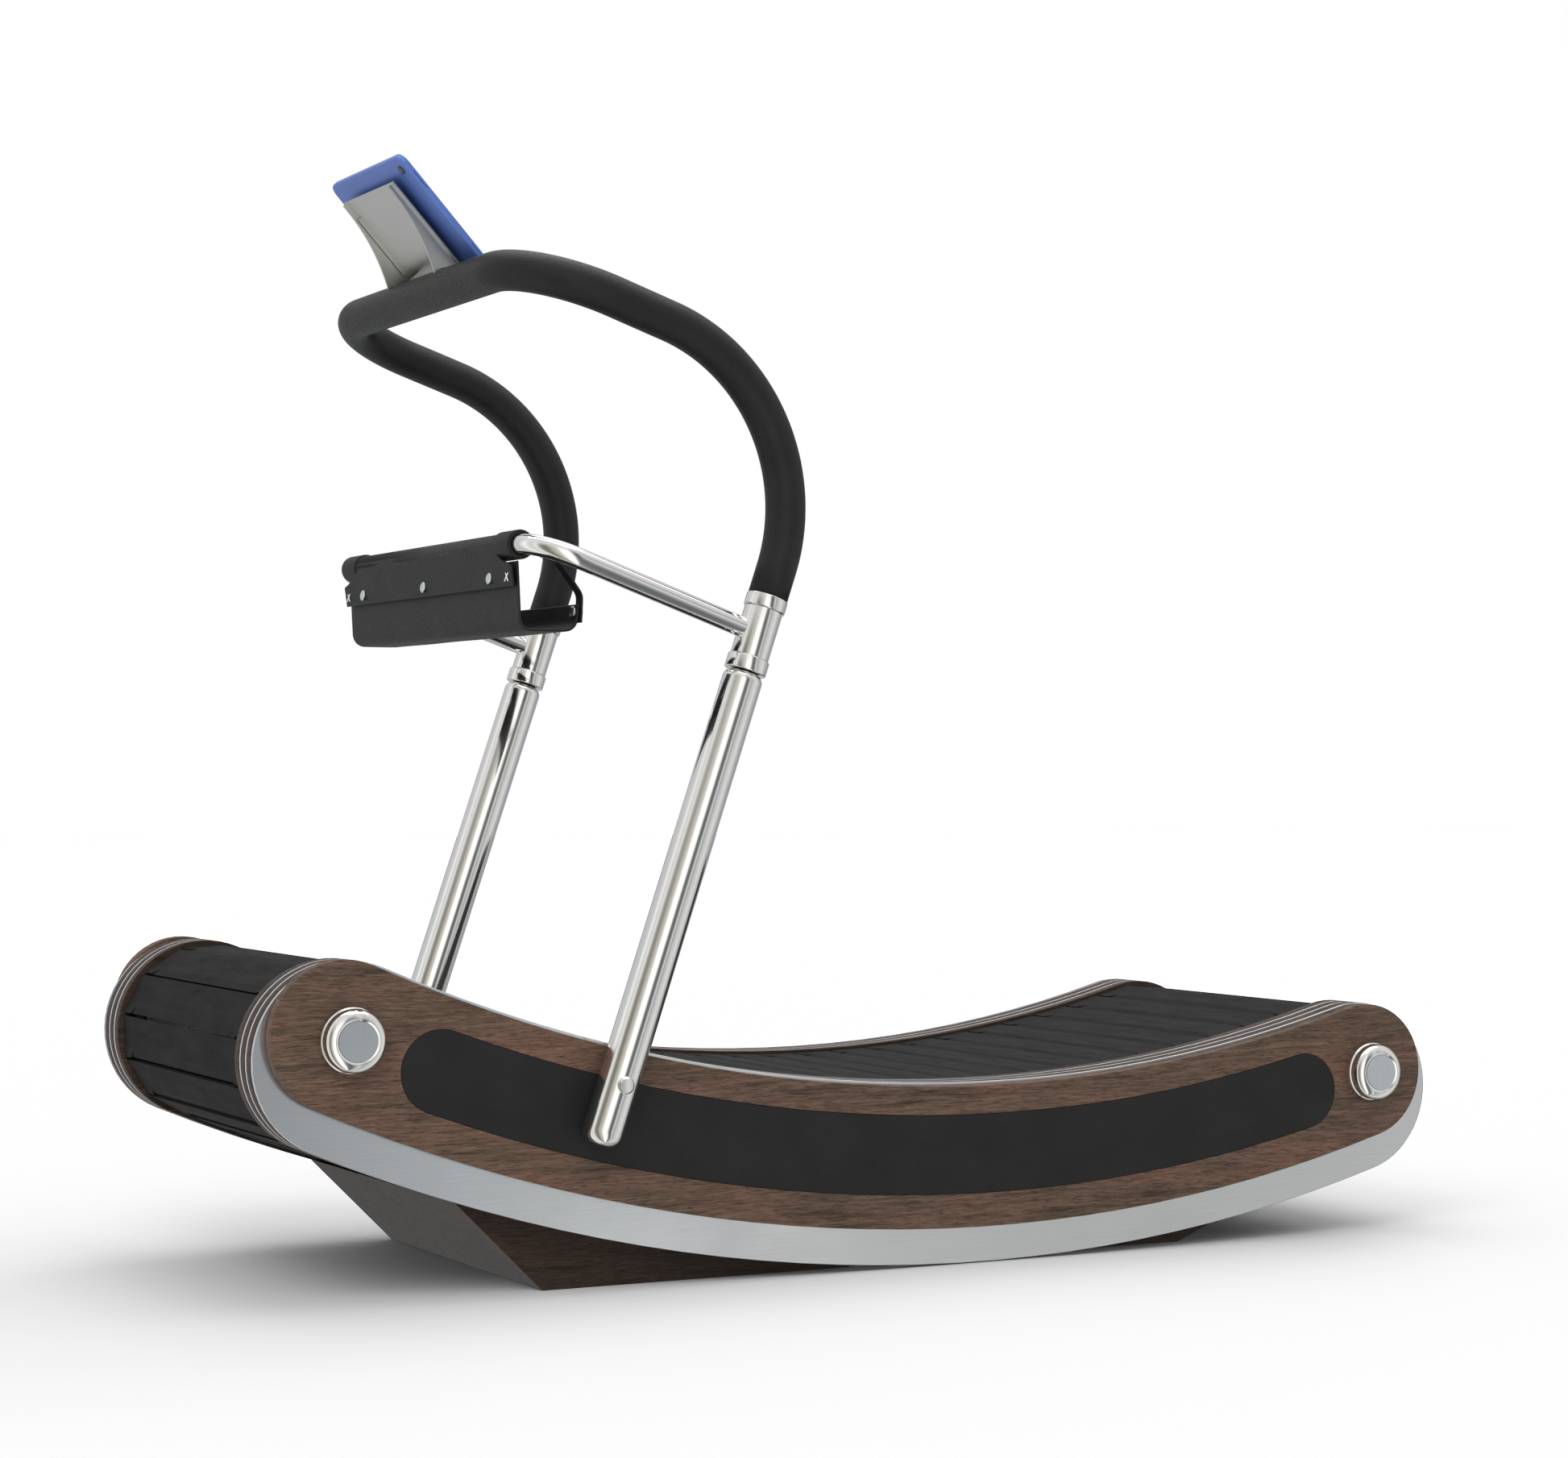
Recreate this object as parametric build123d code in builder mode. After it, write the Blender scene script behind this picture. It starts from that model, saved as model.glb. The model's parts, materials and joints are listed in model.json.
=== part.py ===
from build123d import *
import os
from math import atan, cos, degrees, radians, sin, sqrt

os.makedirs("parts", exist_ok=True)

# Curved manual treadmill. Millimetres, +Z up, the runner faces -X, Y = 0 is the symmetry plane.
# The origin is on the floor under the middle of the machine. "left" is the runner's left, -Y.

# ---- driving dimensions: the side profile, bent round one centre above the machine ----
MID_R = 2433.0              # radius of the side panels' centre line
PANEL_HALF = 128.0          # half the height of a side panel
FRONT_DEG = 23.17           # angle from the lowest point to the front drum
REAR_DEG = 15.72            # angle from the lowest point to the rear drum
GROUND_GAP = 2.0            # the panels' lowest point above the floor
ARC_X = MID_R * (sin(radians(FRONT_DEG)) - sin(radians(REAR_DEG))) / 2
ARC_Z = MID_R + PANEL_HALF + GROUND_GAP

# ---- side panels, from the belt outwards (distances from the symmetry plane) ----
PANEL_INNER = 264.0
WOOD_THICK = 18.5
SHEET_THICK = 4.5
PLATE_THICK = 5.0
COVER_THICK = 18.8
WOOD_STARTS = [PANEL_INNER + k * (WOOD_THICK + SHEET_THICK) for k in range(3)]
PLATE_START = WOOD_STARTS[2] + WOOD_THICK
COVER_START = PLATE_START + PLATE_THICK
COVER_FACE = COVER_START + COVER_THICK

COVER_TOP_R = 2309.0
COVER_BOTTOM_R = 2509.0
COVER_FRONT_DEG = 23.67
COVER_REAR_DEG = 16.0
INLAY_TOP_R = 2349.4
INLAY_BOTTOM_R = 2461.2
INLAY_FRONT_DEG = 20.28
INLAY_REAR_DEG = 13.23
INLAY_THICK = 2.0
INLAY_GAP = 0.3

# ---- axles, drums and bearings ----
AXLE_R = 15.0
RUNNING_GAP = 0.05
AXLE_HALF = PLATE_START
DRUM_R = 105.7
RIM_THICK = 8.0
PULLEY_INNER = 200.0
PULLEY_OUTER = 250.0
PULLEY_WEB = 8.0
HUB_R = 34.0
BEARING_R = 26.0
BEARING_WIDTH = 15.0

# ---- slat belt ----
BELT_VERTEX_R = 124.0       # joint lines between slats, round a drum
TOP_COUNT = 25
RETURN_COUNT = 27
WRAP_COUNT = 6
FRONT_PHASE = 0.36          # share of a slat that the joints stand past the front drum's top
REAR_PHASE = 0.23           # share of a slat that they stand short of the rear drum's top
TOP_PITCH = (FRONT_DEG + REAR_DEG) / (TOP_COUNT - FRONT_PHASE - REAR_PHASE)
RETURN_PITCH = (FRONT_DEG + REAR_DEG) / (RETURN_COUNT + FRONT_PHASE + REAR_PHASE)
SLAT_HALF = 261.0
SLAT_THICK = 9.0
SLAT_OUTER_WIDTH = 59.5
SLAT_INNER_WIDTH = 54.0
FLAP_HALF = 232.0           # half length of the bevelled middle stretch
FLAP_WIDTH = 12.0
FLAP_DROP = 3.6
CARRIER_INNER = 205.0
CARRIER_OUTER = 245.0
CARRIER_THICK = 4.9
CARRIER_GAP = 0.1
CARRIER_R = DRUM_R + CARRIER_GAP
CARRIER_END = 4.0           # a belt run stops this short of the drum's tangent point
RETURN_ENDS = (27.0, 20.0)  # the return belts stop clear of the slats that swing off the drums
LUG_LENGTH = 20.0
CHORD_DIP = 0.3             # a flat slat's middle lies this far inside the belt's curve

# ---- track rails under the top run ----
RAIL_GAP = 0.4
RAIL_THICK = 4.0
RAIL_INNER = 200.0
RAIL_WEB = 14.0
RAIL_END_DEG = 1.5

# ---- cross ties between the panels ----
TIE_DEGS = (-17.0, -6.5, 3.5, 11.0)
TIE_R = 16.0
TIE_BOLT_R = 6.0
TIE_HEAD_R = 10.0
TIE_BOLT_DEPTH = 30.0

# ---- walnut base blocks ----
BASE_HALF = 283.0
BASE_GAP = 0.2
BASE_TOP_R = MID_R + PANEL_HALF + BASE_GAP
FRONT_BASE = ((-638.0, 126.5), (-511.0, 0.0), (-40.0, 0.0))
REAR_BASE = ((338.0, 0.0), (517.0, 0.0), (645.0, 50.0))
BASE_BOLT_R = 5.0
BASE_BOLT_UP = 60.0
BASE_BOLT_XS = (-470.0, -330.0, 500.0)
BASE_BOLT_Y = PANEL_INNER + 8
BASE_BOLT_HEAD_R = 8.0
BASE_BORE_R = 9.0           # counterbore from below
BASE_BOLT_MARGIN = 10.0     # the hole in the panel ends this far above the bolt
BASE_TALL = 400.0           # longer than the blocks are high

# ---- bosses over the axle line, on the covers ----
FRONT_CAP = (-811.0, 353.0)
REAR_CAP = (817.5, 247.0)
CAP_R = 43.5
CAP_WALL = 14.0             # height of the straight wall, then the edge rounds over
CAP_SHOULDER = (27.0, 40.0)  # height and radius in the middle of the rounding
CAP_HEIGHT = 33.0
CAP_DISC_R = 26.5
CAP_LAND = 4.0

# ---- uprights: leaning tubes outside the panels ----
UPRIGHT_Y = 380.9
UPRIGHT_X0 = -541.5         # where the axis meets the floor plane
UPRIGHT_SLOPE = 0.3434
TUBE_R = 27.8
TUBE_WALL = 2.5
FOOT_Z = 203.0
FOOT_FILLET = 19.0
SHOULDER_FILLET = 12.0
LOWER_COLLAR = (835.0, 854.0, 29.2)
SLEEVE = (854.0, 920.0, 26.75)
UPPER_COLLAR = (920.0, 937.0, 29.0)
HANDLE_R = 24.0
GRIP_R = 27.75
HANDLE_WALL = 2.5
HANDLE_ROOT_Z = 854.0

BOLT_Z = 283.5
BOLT_R = 8.0
BOLT_HEAD_R = 12.1
BOLT_SHOULDER_R = 11.0      # bears on the tube's inner wall
BOLT_HEAD_BASE = 17.0       # head starts this far out from the tube's axis
BOLT_HEAD_TOP = 30.4
NUT_R = 13.0
NUT_THICK = 12.0
SADDLE_HALF = 12.0
SADDLE_Z = (222.0, 322.0)

# ---- handle: up the uprights, forward over an arc, then across ----
HANDLE_BEND_Z = 1222.4      # the bend's corner lies on the upright's axis
HANDLE_BEND = (UPRIGHT_X0 + UPRIGHT_SLOPE * HANDLE_BEND_Z, HANDLE_BEND_Z)
HANDLE_BAR = (-571.6, 1374.8)
HANDLE_ARC_R = 259.0
HANDLE_CORNER_R = 129.0

# ---- polished cross bar with its leather sleeve and hanging pouch ----
BAR_ROOT = (-236.6, 888.0)
BAR = (-559.0, 1003.0)
BAR_R = 14.0
BAR_WALL = 2.0
BAR_CORNER_R = 62.0
SLEEVE_GAP = 0.3
LEATHER_THICK = 3.2
BAND_THICK = 2.5            # bands stitched round both ends of the sleeve
BAND_INNER = 265.0
POUCH_HALF = 320.0
FLAP_BOTTOM = (-567.0, 947.0)
FLAP_CUT = ((268.0, 1003.0), (284.0, 977.0), (320.0, 967.0))
POUCH_ROUTE = ((-563.3, 981.0), (-558.7, 889.0), (-478.2, 889.0), (-474.0, 925.0))
POUCH_FILLET = 17.0
POUCH_THICK = 3.4
RIVET_R = 7.0
RIVET_SHANK_R = 3.0
RIVET_HEAD = 2.6
RIVET_YS = (-243.0, 0.0, 243.0)
RIVET_AT = (-566.9, 960.0)
RIVET_TILT = 0.12
STRAP_RIVET_TILT = 0.1
RIVET_CLEARANCE = 0.4
STRAP_WIDTH = 20.0
STRAP_THICK = 3.0
STRAP_ROUTE = ((-537.0, 995.0), (-500.0, 980.0), (-468.5, 938.0), (-470.2, 900.0))
STRAP_RADII = [30.0, 20.0]
STRAP_RIVET = (-473.2, 0.0, 914.0)

# ---- tablet and its holder; the frame's origin is the top of the tablet's back ----
TABLET_TOP = (-665.5, 1543.0)
TABLET_NORMAL = (0.734, 0.0, 0.679)
TABLET_HALF = 137.0
TABLET_HEIGHT = 215.0
TABLET_THICK = 9.0
TABLET_CORNER = 16.0
GLASS_INSET = 6.0
GLASS_THICK = 1.2
LENS_AT = (-118.0, -20.0)
LENS_R = 6.5
SPEAKER_ROWS = (-44.0, -171.0)
SPEAKER_COUNT = 10
SPEAKER_PITCH = 2.9
SPEAKER_R = 0.9
HOLDER_BACK = 10.0          # from the tablet's back to the holder's panel
HOLDER_THICK = 3.0
HOLDER_HALF = 91.0
HOLDER_TOP = -28.0
FLANGE_THICK = 2.5
FLANGE_TOP = 7.0            # flange depth at the top, and at the bar
FLANGE_DEEP = 42.0
LIP_WIDTH = 5.0             # the panel stands this far out past each flange
RIDGE_WIDTH = 3.0
RIDGE_HEIGHT = 4.0
LEDGE_DROP = 0.3
LEDGE_HALF = 60.0
LEDGE_LIP = 10.0
FLANGE_WAIST = (62.0, 5.0)  # the curved edge passes this far below its top, this much deeper
FLANGE_ABOVE = 14.0         # the foot's edges, up and down the slope from the bar's axis
FLANGE_BELOW = 10.0
FLANGE_FOOT = 24.0
CLAMP_HALF = 45.0
CLAMP_SPAN = 24.0
CLAMP_REACH = 6.0
PAD_WIDTH = 20.0
PAD_CORNER = 4.0
CASE_ROUND = 3.5
GLASS_PLAY = 0.1
SPEAKER_UP = 5.4
SPEAKER_DEPTH = 3.0
BAR_PLAY = 0.2
LEDGE_PLAY = 2.0
PAD_Y = 58.0
PAD_LENGTH = 150.0
PAD_GAP = 0.3
LENS_PROUD = 1.4

UP = Vector(sin(atan(UPRIGHT_SLOPE)), 0, cos(atan(UPRIGHT_SLOPE)))
SIDES = (("left", -1), ("right", 1))


def on_arc(radius, angle_deg):
    """A point at this radius from the arc centre; the angle grows towards the rear."""
    a = radians(angle_deg)
    return (ARC_X + radius * sin(a), ARC_Z - radius * cos(a))


FRONT_DRUM = on_arc(MID_R, -FRONT_DEG)
REAR_DRUM = on_arc(MID_R, REAR_DEG)


def side_plane(side, inner, outer):
    """The XZ plane from which a positive extrusion of outer - inner fills that gap."""
    return Plane.XZ.offset(inner if side < 0 else -outer)


def upright_x(z):
    return UPRIGHT_X0 + UPRIGHT_SLOPE * z


def upright_plane(side, z):
    """A plane square to an upright; its x points away from the machine."""
    return Plane(origin=(upright_x(z), side * UPRIGHT_Y, z), x_dir=(0, side, 0), z_dir=UP)


def up_length(z0, z1):
    return (z1 - z0) / UP.Z


def save(builder, name):
    builder.part.label = name
    export_step(builder.part, f"parts/{name}.step")


def curved_stadium(top_r, bottom_r, front_deg, rear_deg):
    """Lines of a stadium bent round the arc centre."""
    half = (bottom_r - top_r) / 2
    mid_r = (bottom_r + top_r) / 2
    mid = (rear_deg - front_deg) / 2
    fx, fz = on_arc(mid_r, -front_deg)
    rx, rz = on_arc(mid_r, rear_deg)
    front_tip = (fx - half * cos(radians(front_deg)), fz + half * sin(radians(front_deg)))
    rear_tip = (rx + half * cos(radians(rear_deg)), rz + half * sin(radians(rear_deg)))
    ThreePointArc(on_arc(top_r, -front_deg), on_arc(top_r, mid), on_arc(top_r, rear_deg))
    ThreePointArc(on_arc(top_r, rear_deg), rear_tip, on_arc(bottom_r, rear_deg))
    ThreePointArc(on_arc(bottom_r, rear_deg), on_arc(bottom_r, mid), on_arc(bottom_r, -front_deg))
    ThreePointArc(on_arc(bottom_r, -front_deg), front_tip, on_arc(top_r, -front_deg))


def arc_band(inner_r, outer_r, start_deg, end_deg):
    """Lines of a strip between two radii of the arc."""
    mid = (start_deg + end_deg) / 2
    ThreePointArc(on_arc(inner_r, start_deg), on_arc(inner_r, mid), on_arc(inner_r, end_deg))
    Line(on_arc(inner_r, end_deg), on_arc(outer_r, end_deg))
    ThreePointArc(on_arc(outer_r, end_deg), on_arc(outer_r, mid), on_arc(outer_r, start_deg))
    Line(on_arc(outer_r, start_deg), on_arc(inner_r, start_deg))


def tie_points():
    return [on_arc(MID_R, a) for a in TIE_DEGS]


# ------------------------------------------------------------------ side panels
def panel_layer(side, inner, thick, axle_holes=True, tie_r=TIE_BOLT_R + RUNNING_GAP):
    """One full-outline layer of a side panel with its through holes."""
    with BuildPart() as layer:
        with BuildSketch(side_plane(side, inner, inner + thick)):
            with BuildLine():
                curved_stadium(MID_R - PANEL_HALF, MID_R + PANEL_HALF, FRONT_DEG, REAR_DEG)
            make_face()
            with Locations((upright_x(BOLT_Z), BOLT_Z)):
                Circle(BOLT_R + RUNNING_GAP, mode=Mode.SUBTRACT)
            with Locations(*tie_points()):
                Circle(tie_r, mode=Mode.SUBTRACT)
            if axle_holes:
                with Locations(FRONT_DRUM, REAR_DRUM):
                    Circle(AXLE_R + RUNNING_GAP, mode=Mode.SUBTRACT)
        extrude(amount=thick)
    return layer.part


def make_panels():
    for name, side in SIDES:
        with BuildPart() as wood:
            for start in WOOD_STARTS:
                add(panel_layer(side, start, WOOD_THICK))
            for x in BASE_BOLT_XS:
                with Locations((x, side * BASE_BOLT_Y, base_bolt_span(x)[1])):
                    hole = 2 * (BASE_BOLT_UP + BASE_BOLT_MARGIN)
                    Cylinder(BASE_BOLT_R + RUNNING_GAP, hole, mode=Mode.SUBTRACT)
        save(wood, f"{name}_wood_layers")
        with BuildPart() as sheets:
            for start in WOOD_STARTS[:2]:
                add(panel_layer(side, start + WOOD_THICK, SHEET_THICK))
        save(sheets, f"{name}_metal_sheets")
        with BuildPart() as plate:
            add(panel_layer(side, PLATE_START, PLATE_THICK, False, TIE_HEAD_R + RUNNING_GAP))
        save(plate, f"{name}_side_plate")
        make_cover(name, side)


def inlay_lines(gap):
    curved_stadium(INLAY_TOP_R - gap, INLAY_BOTTOM_R + gap, INLAY_FRONT_DEG, INLAY_REAR_DEG)


def make_cover(name, side):
    bolt_at = (upright_x(BOLT_Z), BOLT_Z)
    recess_plane = side_plane(side, COVER_FACE - INLAY_THICK, COVER_FACE)
    with BuildPart() as cover:
        with BuildSketch(side_plane(side, COVER_START, COVER_FACE)):
            with BuildLine():
                curved_stadium(COVER_TOP_R, COVER_BOTTOM_R, COVER_FRONT_DEG, COVER_REAR_DEG)
            make_face()
            with Locations(bolt_at):
                Circle(BOLT_R + RUNNING_GAP, mode=Mode.SUBTRACT)
        extrude(amount=COVER_THICK)
        with BuildSketch(recess_plane):
            with BuildLine():
                inlay_lines(INLAY_GAP)
            make_face()
        extrude(amount=INLAY_THICK, mode=Mode.SUBTRACT)
    save(cover, f"{name}_walnut_cover")
    with BuildPart() as inlay:
        with BuildSketch(recess_plane):
            with BuildLine():
                inlay_lines(0)
            make_face()
            with Locations(bolt_at):
                Circle(BOLT_R + RUNNING_GAP, mode=Mode.SUBTRACT)
        extrude(amount=INLAY_THICK)
    save(inlay, f"{name}_leather_inlay")


def make_rails():
    """Angle rails that carry the top run, screwed to the panels' inner faces."""
    top_r = MID_R - CARRIER_R + RAIL_GAP
    front, rear = -FRONT_DEG + RAIL_END_DEG, REAR_DEG - RAIL_END_DEG
    for name, side in SIDES:
        with BuildPart() as rail:
            with BuildSketch(side_plane(side, RAIL_INNER, PANEL_INNER)):
                with BuildLine():
                    arc_band(top_r, top_r + RAIL_THICK, front, rear)
                make_face()
            extrude(amount=PANEL_INNER - RAIL_INNER)
            with BuildSketch(side_plane(side, PANEL_INNER - RAIL_THICK, PANEL_INNER)):
                with BuildLine():
                    arc_band(top_r + RAIL_THICK / 2, top_r + RAIL_WEB, front, rear)
                make_face()
            extrude(amount=RAIL_THICK)
        save(rail, f"{name}_track_rail")


def make_ties():
    with BuildPart() as bars:
        with BuildSketch(Plane.XZ.offset(-PANEL_INNER)):
            with Locations(*tie_points()):
                Circle(TIE_R)
                Circle(TIE_BOLT_R + RUNNING_GAP, mode=Mode.SUBTRACT)
        extrude(amount=2 * PANEL_INNER)
        core = PANEL_INNER - TIE_BOLT_DEPTH - 2
        with BuildSketch(Plane.XZ.offset(-core)):
            with Locations(*tie_points()):
                Circle(TIE_R - 1)
        extrude(amount=2 * core)
    save(bars, "cross_ties")
    with BuildPart() as bolts:
        for _, side in SIDES:
            reach = PANEL_INNER - TIE_BOLT_DEPTH
            with BuildSketch(side_plane(side, reach, PLATE_START)):
                with Locations(*tie_points()):
                    Circle(TIE_BOLT_R)
            extrude(amount=PLATE_START - reach)
            with BuildSketch(side_plane(side, PLATE_START, COVER_START)):
                with Locations(*tie_points()):
                    Circle(TIE_HEAD_R)
            extrude(amount=PLATE_THICK)
    save(bolts, "tie_bolts")


# ------------------------------------------------------------------ base blocks
def under_panel(x):
    """Height of the base blocks' curved top."""
    return ARC_Z - sqrt(BASE_TOP_R**2 - (x - ARC_X) ** 2)


def base_bolt_span(x):
    """Heights where a base bolt starts in its counterbore and ends inside the panel."""
    return under_panel(x) / 3, under_panel(x) + BASE_BOLT_UP


def base_sketch(corners):
    """Side outline of a block whose top follows the panels' lower edge."""
    first, last = corners[0][0], corners[-1][0]
    top = [(x, under_panel(x)) for x in (first, (first + last) / 2, last)]
    ThreePointArc(*top)
    Polyline(top[2], *reversed(corners[1:-1]), top[0])


def make_base():
    """Blocks taper to a thin edge under the panels, where the top curve nearly meets the floor."""
    front = (FRONT_BASE[0], FRONT_BASE[1], FRONT_BASE[2], FRONT_BASE[2])
    rear = (REAR_BASE[0], REAR_BASE[0], REAR_BASE[1], REAR_BASE[2])
    for name, corners in (("front_base", front), ("rear_base", rear)):
        with BuildPart() as block:
            with BuildSketch(Plane.XZ.offset(-BASE_HALF)):
                with BuildLine():
                    base_sketch(corners)
                make_face()
            extrude(amount=2 * BASE_HALF)
            for x in BASE_BOLT_XS:
                low, _ = base_bolt_span(x)
                for _, side in SIDES:
                    with Locations((x, side * BASE_BOLT_Y, low)):
                        Cylinder(BASE_BOLT_R + RUNNING_GAP, BASE_TALL, mode=Mode.SUBTRACT)
                    with Locations((x, side * BASE_BOLT_Y, low - BASE_TALL / 2)):
                        Cylinder(BASE_BORE_R, BASE_TALL, mode=Mode.SUBTRACT)
        save(block, name)
    with BuildPart() as bolts:
        for x in BASE_BOLT_XS:
            low, high = base_bolt_span(x)
            with Locations(*[(x, side * BASE_BOLT_Y, low) for _, side in SIDES]):
                Cylinder(BASE_BOLT_R, high - low, align=(Align.CENTER, Align.CENTER, Align.MIN))
            head = min(BASE_BOLT_R, low / 2)
            with Locations(*[(x, side * BASE_BOLT_Y, low - head) for _, side in SIDES]):
                Cylinder(BASE_BOLT_HEAD_R, head, align=(Align.CENTER, Align.CENTER, Align.MIN))
    save(bolts, "base_bolts")


# ------------------------------------------------------------------ axles and drums
def drum_plane(centre):
    """Local x along the axle, local y straight up from its centre."""
    return Plane(origin=(centre[0], 0, centre[1]), x_dir=(0, 1, 0), z_dir=(1, 0, 0))


def make_drum_set(end, centre):
    axis = Axis((centre[0], 0, centre[1]), (0, 1, 0))
    plane = drum_plane(centre)
    with BuildPart() as axle:
        with BuildSketch(Plane.XZ.offset(-AXLE_HALF)):
            with Locations(centre):
                Circle(AXLE_R)
        extrude(amount=2 * AXLE_HALF)
    save(axle, f"{end}_axle")
    with BuildPart() as drum:
        with BuildSketch(plane):
            with Locations((0, (HUB_R + AXLE_R) / 2 + 1)):
                Rectangle(2 * PULLEY_OUTER, HUB_R - AXLE_R - 2)
            for side in (-1, 1):
                middle = side * (PULLEY_INNER + PULLEY_OUTER) / 2
                with Locations((middle, DRUM_R - RIM_THICK / 2)):
                    Rectangle(PULLEY_OUTER - PULLEY_INNER, RIM_THICK)
                with Locations((middle, (DRUM_R + HUB_R - RIM_THICK) / 2)):
                    Rectangle(PULLEY_WEB, DRUM_R - HUB_R)
                with Locations((side * (PULLEY_OUTER - BEARING_WIDTH / 2), AXLE_R)):
                    Rectangle(BEARING_WIDTH, 2 * (BEARING_R - AXLE_R), mode=Mode.SUBTRACT)
        revolve(axis=axis)
    save(drum, f"{end}_drum")
    with BuildPart() as bearings:
        for side in (-1, 1):
            with BuildSketch(plane):
                inner = AXLE_R + RUNNING_GAP
                with Locations((side * (PULLEY_OUTER - BEARING_WIDTH / 2), (BEARING_R + inner) / 2)):
                    Rectangle(BEARING_WIDTH, BEARING_R - inner)
            revolve(axis=axis)
    save(bearings, f"{end}_bearings")


# ------------------------------------------------------------------ slat belt
def make_slat():
    """One slat: origin in the middle of its outer face, x towards the next slat, z outwards."""
    edge = SLAT_OUTER_WIDTH / 2
    with BuildPart() as bevel:
        with BuildSketch(Plane.XZ.offset(-FLAP_HALF)):
            with BuildLine():
                past = edge + 1
                Polyline((edge - FLAP_WIDTH, 0), (past, 1), (past, -FLAP_DROP), close=True)
            make_face()
        extrude(amount=2 * FLAP_HALF)
        for side in (-1, 1):
            mitre = Plane(origin=(edge, side * FLAP_HALF, 0), z_dir=(1, -side, 0))
            split(bisect_by=mitre, keep=Keep.TOP)
    with BuildPart() as slat:
        with BuildSketch(Plane.XZ.offset(-SLAT_HALF)):
            with BuildLine():
                low = SLAT_INNER_WIDTH / 2
                Polyline((-edge, 0), (edge, 0), (low, -SLAT_THICK), (-low, -SLAT_THICK), close=True)
            make_face()
        extrude(amount=2 * SLAT_HALF)
        add(bevel.part, mode=Mode.SUBTRACT)
    return slat.part


def turned(centre, radius, start, step):
    """A point round a drum, anticlockwise as seen from the runner's left."""
    a = radians(start + step)
    return (centre[0] + radius * cos(a), centre[1] + radius * sin(a))


def slat_vertices():
    """Joint lines of each run. A run's last joint is the next run's first."""
    top_r, return_r = MID_R - BELT_VERTEX_R, MID_R + BELT_VERTEX_R
    turn = 180 / WRAP_COUNT
    front_start = 90 - FRONT_DEG + turn * FRONT_PHASE
    rear_start = REAR_DEG - 90 + turn * (1 - REAR_PHASE)
    top_start = REAR_DEG + TOP_PITCH * REAR_PHASE
    return_start = RETURN_PITCH * FRONT_PHASE - FRONT_DEG
    front = [turned(FRONT_DRUM, BELT_VERTEX_R, front_start, turn * k) for k in range(WRAP_COUNT)]
    rear = [turned(REAR_DRUM, BELT_VERTEX_R, rear_start, turn * k) for k in range(WRAP_COUNT)]
    top = [on_arc(top_r, top_start - TOP_PITCH * k) for k in range(1, TOP_COUNT)]
    back = [on_arc(return_r, return_start + RETURN_PITCH * k) for k in range(RETURN_COUNT + 1)]
    return {
        "top": [rear[-1], *top, front[0]],
        "front": [*front, back[0]],
        "return": back,
        "rear": [back[-1], *rear],
    }


def slat_planes(vertices):
    planes = []
    for (x0, z0), (x1, z1) in zip(vertices, vertices[1:]):
        middle = ((x0 + x1) / 2, 0, (z0 + z1) / 2)
        along = Vector(x1 - x0, 0, z1 - z0)
        planes.append(Plane(origin=middle, x_dir=along, z_dir=(along.Z, 0, -along.X)))
    return planes


def make_slats():
    slat = make_slat()
    for run, vertices in slat_vertices().items():
        with BuildPart() as slats:
            with Locations(*slat_planes(vertices)):
                add(slat)
        save(slats, f"{run}_slats")


def make_straight_carriers(run, slat_r, carrier_r, middles, ends):
    """Two rubber belts of the top or the return run, with a lug under each slat of that run."""
    front_stop, rear_stop = [degrees(end / carrier_r) for end in ends]
    low, high = sorted((slat_r, carrier_r))
    lug = degrees(LUG_LENGTH / 2 / carrier_r)
    inner = carrier_r if slat_r < carrier_r else carrier_r - CARRIER_THICK
    with BuildPart() as belts:
        for _, side in SIDES:
            plane = side_plane(side, CARRIER_INNER, CARRIER_OUTER)
            with BuildSketch(plane):
                with BuildLine():
                    start, finish = front_stop - FRONT_DEG, REAR_DEG - rear_stop
                    arc_band(inner, inner + CARRIER_THICK, start, finish)
                make_face()
            extrude(amount=CARRIER_OUTER - CARRIER_INNER)
            for a in middles:
                with BuildSketch(plane):
                    with BuildLine():
                        arc_band(low, high, a - lug, a + lug)
                    make_face()
            extrude(amount=CARRIER_OUTER - CARRIER_INNER)
    save(belts, f"{run}_belts")


def make_wrap_carriers(end, centre, start):
    """Two half-round belts on a drum."""
    stop = degrees(CARRIER_END / CARRIER_R)
    outer_r = CARRIER_R + CARRIER_THICK
    with BuildPart() as belts:
        for _, side in SIDES:
            with BuildSketch(side_plane(side, CARRIER_INNER, CARRIER_OUTER)):
                with BuildLine():
                    ends = [(r, a) for r in (CARRIER_R, outer_r) for a in (stop, 90, 180 - stop)]
                    p = [turned(centre, r, start, a) for r, a in ends]
                    ThreePointArc(p[0], p[1], p[2])
                    Line(p[2], p[5])
                    ThreePointArc(p[5], p[4], p[3])
                    Line(p[3], p[0])
                make_face()
            extrude(amount=CARRIER_OUTER - CARRIER_INNER)
    save(belts, f"{end}_belts")


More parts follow.
